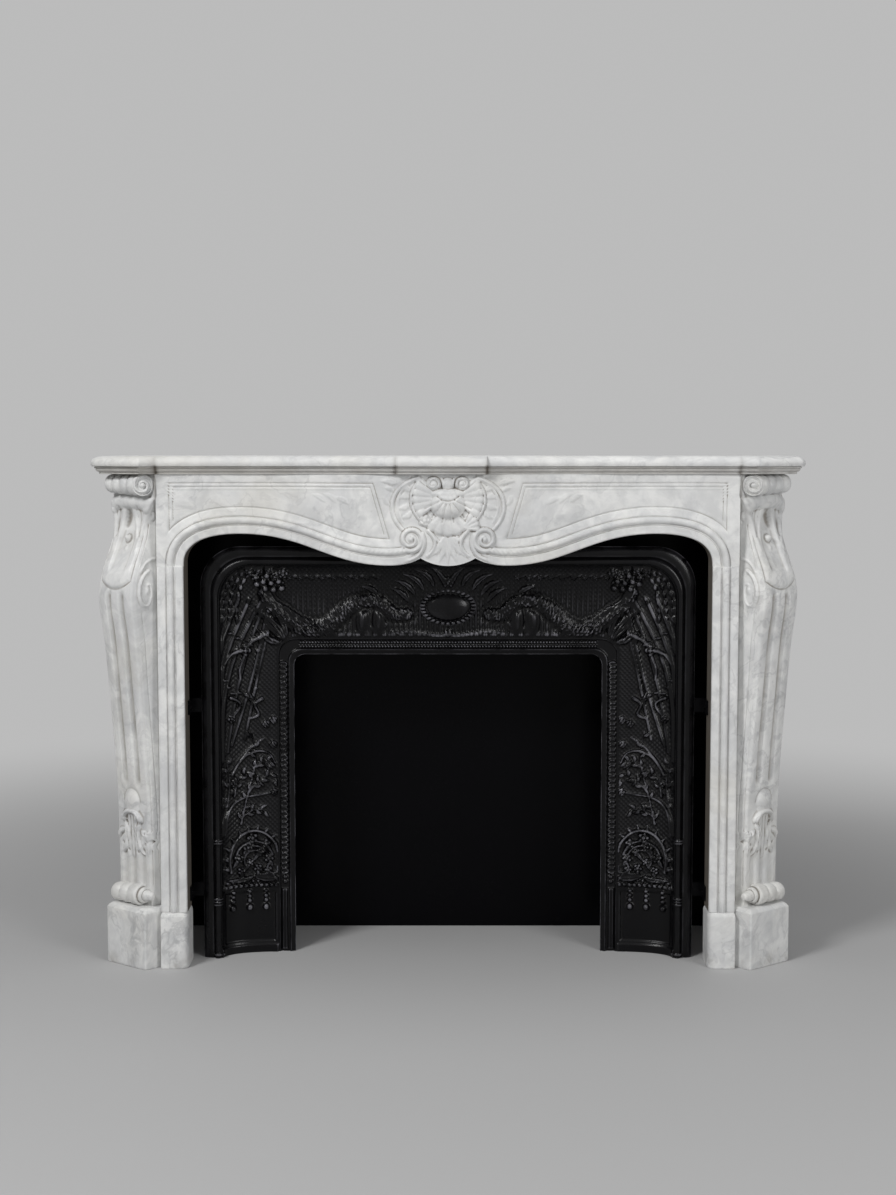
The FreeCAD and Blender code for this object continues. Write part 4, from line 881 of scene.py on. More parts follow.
def shell_middle(carving):
    """The shell's bowl, its lower fan, and what fills the space above and below it."""
    carving.fan((0, 984), 4, 63, -138, -42, 5, 7.5, hollow=0.2)
    carving.dome((0, 988), 37, 32, 20)
    for turn in (-62, -38, -13, 13, 38, 62):
        reach = np.array([math.sin(math.radians(turn)), -math.cos(math.radians(turn))])
        carving.groove([(0, 1004) + 16 * reach, (0, 1004) + 54 * reach], 6, 2.8)
    carving.dome((0, 1009), 38, 12, 16)
    carving.groove([(-22, 1004), (-11, 997), (0, 995), (11, 997), (22, 1004)], 4, 3.5)
    carving.dome((0, 1029), 13, 14, 11)
    for side in (-1, 1):
        carving.leaf((side * 7, 1018), (side * 15, 1044), 9, 9, side * 2)
    carving.leaf((0, 918), (0, 863), 12, 3.5, lobes=4)
    carving.bloom((17, 915), 8, 5, 5)
    carving.dome((-48, 954), 12, 12, 7)
    carving.bloom((-48, 954), 13.5, 11, 5)
    carving.fan((30, 937), 4, 37, -10, 66, 4, 10, hollow=0.2)


def frieze_bow(across):
    return spline(FRIEZE_STATIONS, FRIEZE_BOW, across)


def make_frieze():
    layout, edge = frieze_layout()
    across = np.concatenate([layout[:, :, 0], -layout[:, -2::-1, 0]], axis=1)
    up = np.concatenate([layout[:, :, 1], layout[:, -2::-1, 1]], axis=1)
    half = Relief(layout[:, :, 0], layout[:, :, 1])
    distance = frieze_mouldings(half, edge)
    frieze_panel(half, distance)
    shell_sides(half)
    carving = Relief(across, up)
    right = half.height.reshape(half.shape)
    carving.height = np.concatenate([right, right[:, -2::-1]], axis=1).ravel()
    shell_middle(carving)
    bow = frieze_bow(across)
    crisp = carving.grid()
    soft = carving.grid(2)
    worn = ease(140, 118, np.abs(across)) * ease(868, 884, up)
    forward = bow + crisp * (1 - worn) + soft * worn
    piece = carved_slab("frieze_carved", np.stack([across, forward, up], axis=2), STONE_REAR)
    mark_hollows(piece, 4, 0.9)
    mark_reveal_shade(piece, frieze_bow)
    dress(piece, "frieze", FRIEZE_MARBLE)


# Consoles: rings of an S-shaped bracket, carved on its front and sides, with a scroll at each end

CONSOLE_CENTRE = -68.5
CONSOLE_REAR_END = 679
CONSOLE_HEIGHTS = [130, 200, 332, 464.5, 597, 729, 809, 877, 945.5, 1004, 1050]
CONSOLE_OUT = [-37, -37, -34.1, -25.9, -13.5, 1, 8, -15, -38, -34, -34]
WIDTH_HEIGHTS = [130, 330, 640, 809, 930, 1050]
CONSOLE_WIDTHS = [101, 101, 103, 107, 101, 100]
CONSOLE_STEP = 2.0
SLIM_END = 0.88
HEAD_BLOCK = 30
INNER_FLARE = 10
FLANK_SPREAD = 1.2
HEAD_FOOT = 1001
FRONT_POINTS = 66
SIDE_POINTS = 30


def console_front(carving):
    """The front, by the distance from its middle line (outer side negative) and the height."""
    middle = np.abs(carving.x)
    shaft = ease(378, 402, carving.z) * ease(812, 790, carving.z)
    carving.height += 3.5 * dip(middle / 52)
    for place in (-16, 22):
        carving.height -= shaft * 6.5 * dip((carving.x - place) / 8)
    from_rib = np.abs(carving.x - 3)
    carving.height += shaft * 1.6 * dip(np.minimum(from_rib, np.abs(from_rib - 36)) / 15)
    rim = np.minimum(carving.z - 810 - 14 * (middle / 38) ** 2, 1.5 * (43 - middle))
    apron = bulge(np.clip(1 - rim / 10, 0, 1)) * (rim > 0)
    carving.height += 4.5 * apron * ease(925, 838, carving.z)
    carving.height -= 1.8 * dip((rim + 2) / 3.5)
    tongue = 22 - 13 * ease(890, 975, carving.z)
    sunk = ease(tongue + 6, tongue - 3, middle) * ease(836, 858, carving.z) * ease(985, 960, carving.z)
    carving.height -= 6.5 * sunk
    console_hood(carving)
    console_foot(carving)
    edge = np.clip((6 - (carving.half_width - middle)) / 6, 0, 1)
    carving.height -= 6 * (1 - bulge(edge))


def console_hood(carving):
    """The hood under the upper scroll, whose folds fall to a bead."""
    carving.height -= 8 * np.clip(1 - (carving.x / 30) ** 2 - ((carving.z - 956) / 24) ** 2, 0, 1)
    carving.cord([(-53, 984), (-28, 990), (0, 992), (28, 990), (53, 984)], 30, 11)
    carving.dome((0, 915), 7.5, 7.5, 14, base=-5)
    carving.dome((0, 895), 6, 9, 6, base=-5)
    for side in (-1, 1):
        carving.dome((side * 47, 977), 10, 13, 12)
        carving.cord([(side * 48, 976), (side * 41, 934), (side * 34, 890), (side * 38, 846)], 16, 6.5, 0.6)
        carving.cord([(side * 12, 988), (side * 19, 958), (side * 27, 920), (side * 31, 876)], 15, 6, 0.6)
        carving.groove([(side * 27, 982), (side * 33, 952), (side * 36, 918)], 8, 3)


def console_foot(carving):
    """The bell flower above the lower scroll, with its reeds, leaves and short flutes."""
    low = ease(262, 240, carving.z) * ease(158, 178, carving.z)
    for place in (-28, 0, 28):
        carving.height -= low * 4.5 * dip((carving.x - place) / 9)
    carving.dome((0, 350), 23, 26, 8.5, base=1)
    carving.groove([(-26, 352), (-18, 372), (0, 380), (18, 372), (26, 352)], 5, 2)
    carving.dome((0, 336), 24, 20, 9)
    carving.cord([(-25, 318), (-16, 327), (0, 331), (16, 327), (25, 318)], 12, 14)
    for place in (-9, 0, 9):
        carving.cord([(place, 324), (place, 280), (place * 1.6, 232)], 8, 7.5, 0.6)
    for side in (-1, 1):
        carving.dome((side * 26, 314), 7, 7.5, 13)
        carving.leaf((side * 24, 308), (side * 27, 252), 18, 11, side * -11, lobes=3)
        carving.leaf((side * 25, 290), (side * 45, 266), 14, 10, side * 5, lobes=2)
        carving.leaf((side * 17, 272), (side * 36, 236), 13, 9, side * -5, lobes=3)
        carving.groove([(side * 13.5, 312), (side * 14, 285), (side * 16, 258)], 4, 3)
    carving.bloom((45, 279), 12, 8, 5)
    carving.leaf((46, 268), (44, 236), 13, 6.5)
    drilled = ((-19, 307), (19, 307), (37, 287), (50, 270), (34, 262), (-34, 260), (41, 252), (13, 244),
               (-14, 246))
    for across, up in drilled:
        carving.groove([(across, up), (across + 1, up - 3)], 5.5, 6)


def console_side(carving):
    """A side, by the distance behind its front edge and the height: an oval volute under an arched band."""
    carving.dome((34, 806), 25, 45, 3)
    carving.winding((34, 806), 24, 1.0, 100, 1, 9, 5.5, oval=1.75)
    carving.cord([(8, 846), (17, 864), (34, 872), (56, 864)], 6, 3)
    carving.groove([(18, 760), (16, 600), (14, 400), (14, 200)], 3, 1.5)
    carving.leaf((14, 945), (30, 985), 13, 5, -3, lobes=3)
    carving.leaf((22, 930), (44, 960), 12, 4, -3, lobes=3)
    carving.dome((10, 962), 7, 9, 5)


def console_rings():
    """Rings of across, forward and up for the right console, from its foot to its top."""
    up = np.arange(PLINTH_TOP, FRIEZE_TOP + 0.1, CONSOLE_STEP)
    body_foot = CONSOLE_HEIGHTS[1]
    body_top = CONSOLE_HEIGHTS[-2]
    body = (up > body_foot) & (up < body_top)
    face = np.full(len(up), float(CONSOLE_OUT[0]))
    face[body] = spline(CONSOLE_HEIGHTS[1:-1], CONSOLE_OUT[1:-1], up[body])
    face[up >= body_top] = CONSOLE_OUT[-1]
    half = spline(WIDTH_HEIGHTS, CONSOLE_WIDTHS, up) / 2
    lean = np.gradient(face, up)[:, None]
    share = np.sin(np.linspace(-1, 1, FRONT_POINTS) * math.pi / 2 * 0.86) / math.sin(math.pi / 2 * 0.86)
    across = half[:, None] * share
    front = Relief(across, np.repeat(up[:, None], FRONT_POINTS, axis=1))
    front.half_width = np.repeat(half, FRONT_POINTS)
    console_front(front)
    fade = ease(PLINTH_TOP, 180, up) * ease(FRIEZE_TOP, body_top, up)
    carved = front.grid() * fade[:, None]
    steep = np.sqrt(1 + lean ** 2)
    front_out = face[:, None] + carved / steep
    front_up = up[:, None] - carved * lean / steep
    head = HEAD_BLOCK * ease(HEAD_FOOT - 60, HEAD_FOOT + 8, up)
    front_along = CONSOLE_CENTRE + across + head[:, None] * np.clip(share, 0, 1) ** 3
    flare = INNER_FLARE * (1 - head / HEAD_BLOCK)
    inner = console_flank(up, half + head, front_out[:, -1], 1, face, flare)
    outer = console_flank(up, half, front_out[:, 0], -1, face, np.zeros(len(up)))
    corners = np.array([(JOINT_HALF, CONSOLE_REAR), (CONSOLE_REAR_END, CONSOLE_REAR)], float)
    rear = np.array([np.column_stack([corners, (height, height)]) for height in up])
    facing = ring_points(front_along, front_out, front_up)
    return np.concatenate([facing, inner, rear, outer[:, ::-1]], axis=1)


def ring_points(along, out, up):
    across, forward = canted(along, out)
    return np.stack([across, forward, np.broadcast_to(up, across.shape)], axis=2)


def console_flank(up, half, edge_out, side, face, flare):
    """A console's carved side: the inner one flares to the frieze joint, the outer one ends at the rear."""
    along = CONSOLE_CENTRE + side * half
    if side > 0:
        end = (JOINT_HALF - CORNER_X + (along + flare) * CANT_COS) / CANT_SIN
    else:
        end = (CONSOLE_REAR - FRIEZE_FRONT - along * CANT_SIN) / CANT_COS
    share = np.linspace(0, 1, SIDE_POINTS + 1)[1:]
    out = edge_out[:, None] + (end - edge_out)[:, None] * share
    heights = np.repeat(up[:, None], SIDE_POINTS, axis=1)
    flank = Relief((edge_out[:, None] - out) * (FLANK_SPREAD if side > 0 else 1), heights)
    console_side(flank)
    fade = ease(0, 6, edge_out[:, None] - out) * ease(0, 8, out - end[:, None])
    spread = flare[:, None] * np.clip((face[:, None] - out) / (face - end)[:, None], 0, 1)
    return ring_points(along[:, None] + spread + side * flank.grid() * fade, out, heights)


def banded(bands, length, radius, swell):
    """A profile of rounded bands along an axis, closed at both ends and slimmer where it starts."""
    start = 1.2
    width = (length - 2 * start) / bands
    end = [(0, 0), (0, radius * 0.5), (0, radius - swell - 2), (0.6, radius - swell - 0.6)]
    profile = list(end)
    for band in range(bands):
        for share in np.linspace(0, 1, 9):
            rise = swell * math.sin(math.pi * share) ** 0.6
            profile.append((start + (band + share) * width, radius - swell + rise))
    profile += [(length - place, reach) for place, reach in reversed(end)]
    return [(place, reach * (SLIM_END + (1 - SLIM_END) * place / length)) for place, reach in profile]


def coiled_end(radius, depth):
    """The profile of a disc with a rounded rim, its face dense enough for a coil."""
    profile = [(-depth, 0), (-depth, radius * 0.6), (-depth, radius - 3), (-depth + 1, radius - 1.2)]
    profile += [(-3 + 3 * sin, radius - 3 + 3 * cos) for cos, sin in arc(0, 90, 6)]
    return profile + [(0, (radius - 3) * (1 - share)) for share in np.linspace(0, 1, 34)[1:]]


def scroll(name, along, out, up, direction, profile, coil, settle=0):
    """A turned piece on an axis that points across and forward; a coil winds on its end face.
    A piece that slims towards its start settles there: down with 1, up with -1."""
    start_x, start_b = canted(along, out)
    length = math.hypot(*direction)
    axis = (direction[0] / length, direction[1] / length)

    def shape(place, radius, turn):
        reach = radius / np.max(radius)
        sunk = settle * SCROLL_RADIUS * (1 - SLIM_END) * (1 - place / max(np.max(place), 1))
        wound = np.cos(turn + 2 * math.pi * 1.75 * reach + 1.2)
        wound = wound * ease(0.16, 0.3, reach) * ease(0.93, 0.84, reach)
        rise = coil * (2.6 * wound + 3.2 * bulge(reach / 0.22)) * (place > -0.5)
        beside = radius * np.cos(turn)
        along_axis = place + rise
        return np.stack([start_x + axis[0] * along_axis - axis[1] * beside,
                         start_b + axis[1] * along_axis + axis[0] * beside,
                         up - sunk + radius * np.sin(turn)], axis=1)

    return turned(name, profile, 72, shape)


def stepped_coil():
    """The profile of a scroll's end that narrows in steps to a long eye."""
    def rounded_step(radius, place, reach):
        step = [(place + reach * sin, radius - reach * (1 - cos)) for cos, sin in arc(0, 90, 7)]
        return step + [(place + reach - 0.8, radius - reach - 1)]

    rim = [(-14, 0), (-14, 12), (-14, 20), (-12, 22), (-9, 22.8)]
    neck = [(14, 11.8), (17, 11.4), (21, 10.6), (26, 9.4)]
    eye = rounded_step(8.5, 30, 5)[:-1] + [(35.2, 2), (35.2, 0)]
    return rim + rounded_step(22.8, -3, 5) + rounded_step(17, 8, 4.5) + neck + eye


def make_consoles():
    inward = (-CANT_COS, CANT_SIN)
    outward = (CANT_COS, -CANT_SIN)
    frontward = (-math.sin(math.radians(14)), math.cos(math.radians(14)))
    lower = SCROLL_RADIUS + PLINTH_TOP
    upper = FRIEZE_TOP - SCROLL_RADIUS
    slim = SLIM_END * SCROLL_RADIUS
    coil = coiled_end(SCROLL_RADIUS - 0.4, 14)
    slim_coil = coiled_end(slim - 0.4, 14)
    scrolls = (("upper_barrel", -112, -21, upper, inward, banded(4, 94, 22.5, 4.6), 0, -1),
               ("upper_coil", -4, -15, upper, frontward, coil, 1.5),
               ("upper_outer_coil", -104, -21, FRIEZE_TOP - slim, outward, slim_coil, 1),
               ("lower_barrel", -118.5, -27, lower, inward, banded(3, 80, 22.8, 3.6), 0, 1),
               ("lower_coil", -38, -27, lower, inward, stepped_coil(), 0),
               ("lower_outer_coil", -111, -27, PLINTH_TOP + slim, outward, slim_coil, 1))
    pieces = [wrapped("right_console_carved", console_rings())] + [scroll(*row) for row in scrolls]
    right = joined("right_console_carved", pieces)
    mark_hollows(right, 8, 1.25)
    across = point_places(right)[0]
    keep_on_points(right, "stain_and_shade", 0.6 * ease(JOINT_HALF + 7.5, JOINT_HALF + 3, across))
    dress_pair(right, "console", CONSOLE_MARBLE)


# Plinths and slips

PLINTH_INNER = 330
PLINTH_CORNER = (736.35, 287.5)
PLINTH_OUTER = 691.5
SLANT = 1.27
NEAR_MITRE = 0.17
FAR_MITRE = 1.4
SIDE_PARTS = 10
LONG_SIDE = 12
JOINT_BEVEL = 1.2


def console_plinth_outline(inset):
    """The plan of the right console plinth, drawn in by an inset along its three free sides."""
    loop = [(JOINT_HALF, CONSOLE_REAR), (JOINT_HALF, PLINTH_INNER - SLANT * inset),
            (CORNER_X - NEAR_MITRE * inset, FRIEZE_FRONT - FAR_MITRE * inset),
            (PLINTH_CORNER[0] - FAR_MITRE * inset, PLINTH_CORNER[1] - NEAR_MITRE * inset),
            (PLINTH_OUTER - SLANT * inset, CONSOLE_REAR), (JOINT_HALF, CONSOLE_REAR)]
    return densified(rounded(loop, {1: 1.5, 2: 4, 3: 5, 4: 2}, 7)[:-1])


def densified(path):
    """Points added along the long sides of a closed path, as many for each inset of it."""
    closed = np.concatenate([path, path[:1]])
    points = []
    for start, end in zip(closed, closed[1:]):
        count = SIDE_PARTS if np.hypot(*(end - start)) > LONG_SIDE else 1
        for k in range(count):
            points.append(start + (end - start) * k / count)
    return np.array(points)


def slip_plinth_outline(inset):
    low = OPENING_HALF - 2
    front = SLIP_FRONT + 13 - inset
    loop = [(low + inset * 0.6, STONE_REAR), (low + inset * 0.6, front), (JOINT_HALF - inset * 0.3, front),
            (JOINT_HALF - inset * 0.3, STONE_REAR), (low + inset * 0.6, STONE_REAR)]
    return densified(rounded(loop, {1: 20, 2: 3}, 12)[:-1])


def block_profile(top, bevel):
    """Worn foot, upright face, and a hollow bevel up to the top."""
    profile = [(2.2, 0), (0.9, 0.6), (0.3, 2)]
    profile += [(0.001, up) for up in np.linspace(4, top - bevel - 2, 14)]
    profile.append((0.4, top - bevel - 0.4))
    for share in np.linspace(0, 1, 7):
        inset = 1.2 + (bevel - 2) * share - 0.9 * math.sin(math.pi * share)
        profile.append((inset, top - bevel + (bevel - 1) * share))
    return profile + [(bevel + 0.6, top - 0.2), (bevel + 2.5, top)]


def make_plinths():
    kinds = (("console_plinth", console_plinth_outline, block_profile(PLINTH_TOP, 8)),
             ("slip_plinth", slip_plinth_outline, block_profile(SLIP_PLINTH_TOP, 6)))
    for stem, outline, profile in kinds:
        right = wrapped(f"right_{stem}_worn", stacked(outline, profile), 35)
        mark_hollows(right, 3, 1.0)
        dress_pair(right, stem, BLOCK_MARBLE)


def make_slips():
    section = [(OPENING_HALF, STONE_REAR), (OPENING_HALF, SLIP_FRONT - REVEAL_EDGE)]
    for distance in MOULDING_ROWS:
        section.append((OPENING_HALF + distance, SLIP_FRONT + float(moulding(np.array(distance)))))
    section += [(596, SLIP_FRONT), (604, SLIP_FRONT), (609, SLIP_FRONT), (JOINT_HALF, SLIP_FRONT - 1),
                (JOINT_HALF, STONE_REAR)]
    shaft = np.linspace(SLIP_PLINTH_TOP + 1, FRIEZE_FOOT - 1, 50)
    heights = [(0, height) for height in (SLIP_PLINTH_TOP, *shaft, FRIEZE_FOOT)]
    rings = stacked(lambda _inset: np.array(section), heights)
    for end in (0, -1):
        rings[end, 1:-1, 1] -= JOINT_BEVEL
        rings[end, :4, 0] += JOINT_BEVEL
    right = wrapped("right_slip_moulded", rings)
    mark_hollows(right, 4, 0.7)
    mark_reveal_shade(right, lambda _across: SLIP_FRONT)
    dress_pair(right, "slip", SLIP_MARBLE)


# Cast-iron insert: rings round the section of a coved surround, ornament cast on its hollow

MITRE_SLOPE = TOP_WIDTH / SIDE_WIDTH
SIDE_COVE = SIDE_WIDTH - BORDER_WIDTH - FRAME_WIDTH
TOP_COVE = TOP_WIDTH - BORDER_WIDTH - FRAME_WIDTH
BORDER_FRONT = INSERT_FRONT - COVE_DEPTH
MEDALLION_UP = 762
MEDALLION_FORWARD = 221
MEDALLION_HALVES = (61, 40)
FIRE_CORNER = 25
INSERT_CORNER = 85
FRAME_ROLL = 7
BEAD_PITCH = 11.4
FINE_PITCH = 6.6
PLAIN_FOOT = 140


def insert_front():
    """The front of the section: side distance, top distance and forward place, from the fire opening out."""
    lines = []
    for distance in np.concatenate([[0, 0.5, 1.5], np.arange(3, 36.1, 1.5)]):
        sunk = ease(11, 13.5, distance) * ease(33, 30.5, distance)
        edge = 4.5 * (1 - ease(0, 11, distance))
        lines.append((distance, distance, BORDER_FRONT - 4 * sunk - edge))
    for cos, sin in arc(0, 90, 72)[1:]:
        lines.append((BORDER_WIDTH + sin * SIDE_COVE, BORDER_WIDTH + sin * TOP_COVE,
                      INSERT_FRONT - COVE_DEPTH * cos))
    roll = [(32 + FRAME_ROLL * math.cos(turn), FRAME_ROLL * math.sin(turn))
            for turn in np.linspace(0.05, math.pi, 13)]
    strip = [(24, -2), (23.2, -1.8), (22.4, -0.4), (21.5, 0), (17, 0), (13, -0.2), (9, -0.9), (6, -2),
             (3.5, -3.6), (1.6, -5.4), (0.5, -6.8), (0, -7.6)]
    for from_edge, stand in roll + strip:
        lines.append((SIDE_WIDTH - from_edge, TOP_WIDTH - from_edge, INSERT_FRONT + stand))
    return np.array(lines)


def insert_rear():
    """The rear of the section, from the outer edge back to the fire opening."""
    lines = [(SIDE_WIDTH, TOP_WIDTH, INSERT_FRONT - CASTING),
             (SIDE_WIDTH - 32, TOP_WIDTH - 32, INSERT_FRONT - CASTING)]
    for turn, shift in ((58, 5), (37, 3.5), (18, 1.5), (0, 0)):
        share = math.sin(math.radians(turn))
        lines.append((BORDER_WIDTH + share * SIDE_COVE + shift, BORDER_WIDTH + share * TOP_COVE + shift,
                      INSERT_FRONT - COVE_DEPTH * math.cos(math.radians(turn)) - CASTING + shift * 0.4))
    return np.array(lines + [(0, 0, BORDER_FRONT - CASTING)])


def surround_rows(lines):
    """Points round the right half of the insert for each line of the section: those of the side casting,
    from the floor to the mitre, and those of the top casting, from the mitre to the centre."""
    half = FIRE_HALF + lines[:, 0]
    top = FIRE_TOP + lines[:, 1]
    radius = FIRE_CORNER + (INSERT_CORNER - FIRE_CORNER) * lines[:, 0] / SIDE_WIDTH
    low = np.zeros(len(lines))
    high = np.full(len(lines), math.pi / 2)
    for _ in range(40):
        middle = (low + high) / 2
        above = top - radius + radius * np.sin(middle) - FIRE_TOP
        beyond = half - radius + radius * np.cos(middle) - FIRE_HALF
        past = above > MITRE_SLOPE * beyond
        high = np.where(past, middle, high)
        low = np.where(past, low, middle)
    climb = np.linspace(0, 1, 440)[:, None]
    side_line = np.stack(np.broadcast_arrays(half[None], climb * (top - radius)), axis=2)
    turn = low * np.linspace(0, 1, 30)[1:, None]
    rest = low + (math.pi / 2 - low) * np.linspace(0, 1, 26)[:, None]
    arcs = [np.stack([half - radius + radius * np.cos(angle), top - radius + radius * np.sin(angle)], axis=2)
            for angle in (turn, rest)]
    travel = np.linspace(1, 0, 232)[1:, None]
    top_line = np.stack(np.broadcast_arrays(travel * (half - radius), top[None]), axis=2)
    side = np.concatenate([side_line, arcs[0]])
    over = np.concatenate([arcs[1], top_line])
    return side, over


def with_forward(points, lines):
    forward = np.broadcast_to(lines[:, 2], points.shape[:2])
    return np.stack([points[..., 0], forward, points[..., 1]], axis=2)


def cast_outwards(points, heights):
    """Moves the points of a grid along its normals."""
    normal = np.cross(np.gradient(points, axis=0), np.gradient(points, axis=1))
    normal /= np.maximum(np.linalg.norm(normal, axis=2, keepdims=True), 1e-9)
    normal *= np.sign(normal[..., 1:2].mean())
    return points + normal * heights[..., None]


def garland(cast, points, width, height, seed):
    """A swag of small flowers and leaves along a path, fuller in its middle."""
    random = np.random.default_rng(seed)
    path = flowing(points, 12)
    tangent = unit(np.gradient(path, axis=0))
    cast.groove(points, width * 1.5, 3)
    cast.cord(points, width * 0.6, height * 0.6)
    for k in range(1, len(path) - 1, 3):
        full = 0.7 + 0.3 * math.sin(math.pi * k / len(path))
        aside = np.array([-tangent[k, 1], tangent[k, 0]])
        for side in (-1, 1):
            reach = 0.62 * side * aside + 0.35 * tangent[k] * random.uniform(0.4, 1.0)
            cast.leaf(path[k], path[k] + full * width * reach, 0.5 * width, height * 0.75, lobes=2)
        centre = path[k] + aside * random.uniform(-0.2, 0.2) * width
        petals = int(random.integers(4, 7))
        size = full * width * random.uniform(0.32, 0.44)
        cast.bloom(centre, size, 1.2 * height, petals, random.uniform(0, 6))


def sprig(cast, points, width, height, leaf):
    """A tapering stem with leaves to its two sides in turn."""
    cast.cord(points, width, height, 0.45)
    path = flowing(points, 6)
    for k in range(1, len(path) - 1, 2):
        run = unit(path[k + 1] - path[k - 1]) * leaf
        aside = np.array([-run[1], run[0]])
        side = 1 if k // 2 % 2 else -1
        cast.leaf(path[k], path[k] + run + side * 0.8 * aside, 0.6 * leaf, height, side * 2)


def top_ornament(cast):
    """Tongues, swag and sprays of the top casting, on its right half."""
    for place in np.arange(5.5, 340, 11):
        cast.cord([(place, 699), (place, 816)], 9.8, 3.2, 0.35)
    for place in (150, 186):
        cast.dome((place, 732), 16, 34, 7)
        cast.dome((place, 732), 10, 28, 9)
    for place in np.arange(62, 330, 19):
        cast.leaf((place, 695), (place, 711), 13, 5)
    outer_swag = [(398, 800), (384, 768), (358, 748), (322, 723), (286, 713), (254, 725), (228, 750),
                  (190, 772)]
    garland(cast, outer_swag, 38, 9, 3)
    garland(cast, [(190, 772), (162, 776), (138, 764), (116, 746), (84, 748)], 30, 8.5, 5)
    for row in range(3):
        for place in np.arange(-24 + 4 * row, 25 - 4 * row, 8):
            cast.dome((296 + place, 722 - 7 * row), 3.8, 3.4, 11)
    sprays = (((84, 772), (126, 804), 7), ((70, 786), (118, 822), 9), ((52, 798), (100, 836), 10),
              ((30, 806), (72, 846), 10), ((150, 790), (190, 808), 5), ((128, 728), (174, 714), -5),
              ((8, 808), (34, 850), 7))
    cast.leaves(sprays, 15, 6, 4)
    cast.bloom((0, 818), 15, 8, 7)
    cast.cord([(14, 696), (46, 702), (84, 708), (120, 704)], 10, 7, 0.7, twist=11)
    cast.bloom((0, 700), 13, 9, 6)
    cast.leaf((8, 694), (44, 687), 13, 6, -2, lobes=3)
    for place in np.arange(150, 350, 24):
        cast.bloom((place, 828), 8, 4.5, 5)
        cast.leaf((place + 6, 828), (place + 20, 836), 8, 4)


def corner_ornament(cast):
    """The flower cluster, laurel and leaf of the corner."""
    random = np.random.default_rng(11)
    for place in ((394, 826), (372, 832), (414, 830), (384, 848), (406, 848), (362, 818), (396, 806),
                  (374, 810), (426, 844), (354, 838)):
        cast.bloom(place, random.uniform(10, 13), 9, 5, random.uniform(0, 6))
    for place in ((380, 818), (397, 821), (364, 822), (411, 815), (376, 802), (393, 804), (358, 806),
                  (388, 836)):
        cast.dome(place, 8, 8, 11)
    for shift in (0, 15, 30):
        stem = [(440 - shift, 862 - 0.4 * shift), (466 - shift, 826), (482 - shift, 786), (487 - shift, 738)]
        laurel = flowing(stem, 5)
        for k in range(0, len(laurel) - 1, 2):
            cast.leaf(laurel[k], laurel[k] + unit(laurel[k + 1] - laurel[k]) * 19, 9, 6)
    corner_leaf = (((352, 684), (404, 748), 8), ((349, 696), (380, 756), 7), ((362, 682), (416, 716), -6),
                   ((356, 690), (396, 724), 2))
    cast.leaves(corner_leaf, 20, 8, 5)


def side_ornament(cast):
    """Reeds, ribbons, branches and wreath of the right side casting."""
    reeds = ([(452, 781), (490, 673), (490, 455)], [(403, 777), (469, 632), (487, 430)],
             [(428, 780), (480, 650), (489, 442)], [(389, 762), (427, 601), (470, 462)],
             [(383, 740), (410, 627), (442, 474)], [(397, 770), (448, 620), (478, 448)])
    for reed in reeds:
        cast.cord(reed, 11, 5, 0.75)
        first, middle, last = np.array(reed)
        for share in (0.3, 0.62):
            node = first * (1 - share) ** 2 + 2 * share * (1 - share) * middle + share ** 2 * last
            cast.dome(node, 7, 3, 6)
    ribbons = ([(390, 705), (412, 694), (436, 676), (444, 651), (452, 627), (450, 604)],
               [(446, 668), (470, 660), (484, 640)], [(380, 690), (402, 702), (420, 692)],
               [(404, 562), (420, 548), (412, 530), (434, 518)], [(472, 566), (452, 552), (464, 528)])
    for ribbon in ribbons:
        cast.cord(ribbon, 9, 9, 0.6)
    cast.bloom((440, 668), 15, 11, 4)
    for place in ((378, 514), (380, 461), (390, 414), (409, 376), (378, 356), (466, 378), (428, 566),
                  (470, 520), (396, 506), (372, 376)):
        cast.bloom(place, 10, 8, 5)
    cast.cord([(470, 402), (450, 432), (428, 456), (400, 475)], 8, 9, 0.4)
    cast.cord([(472, 398), (440, 438), (412, 447), (388, 440), (377, 420)], 8, 9, 0.5)
    cast.cord([(489, 268), (470, 330), (448, 344), (412, 350), (380, 356)], 7, 8, 0.5)
    for stem in ([(452, 288), (436, 356), (420, 430), (428, 490)], [(484, 330), (476, 380), (482, 430)],
                 [(436, 356), (410, 382), (380, 398)], [(424, 410), (402, 424), (384, 424)],
                 [(452, 300), (420, 318), (396, 314)], [(466, 350), (452, 392), (430, 404)]):
        sprig(cast, stem, 6, 7, 15)
    wreath_ornament(cast)


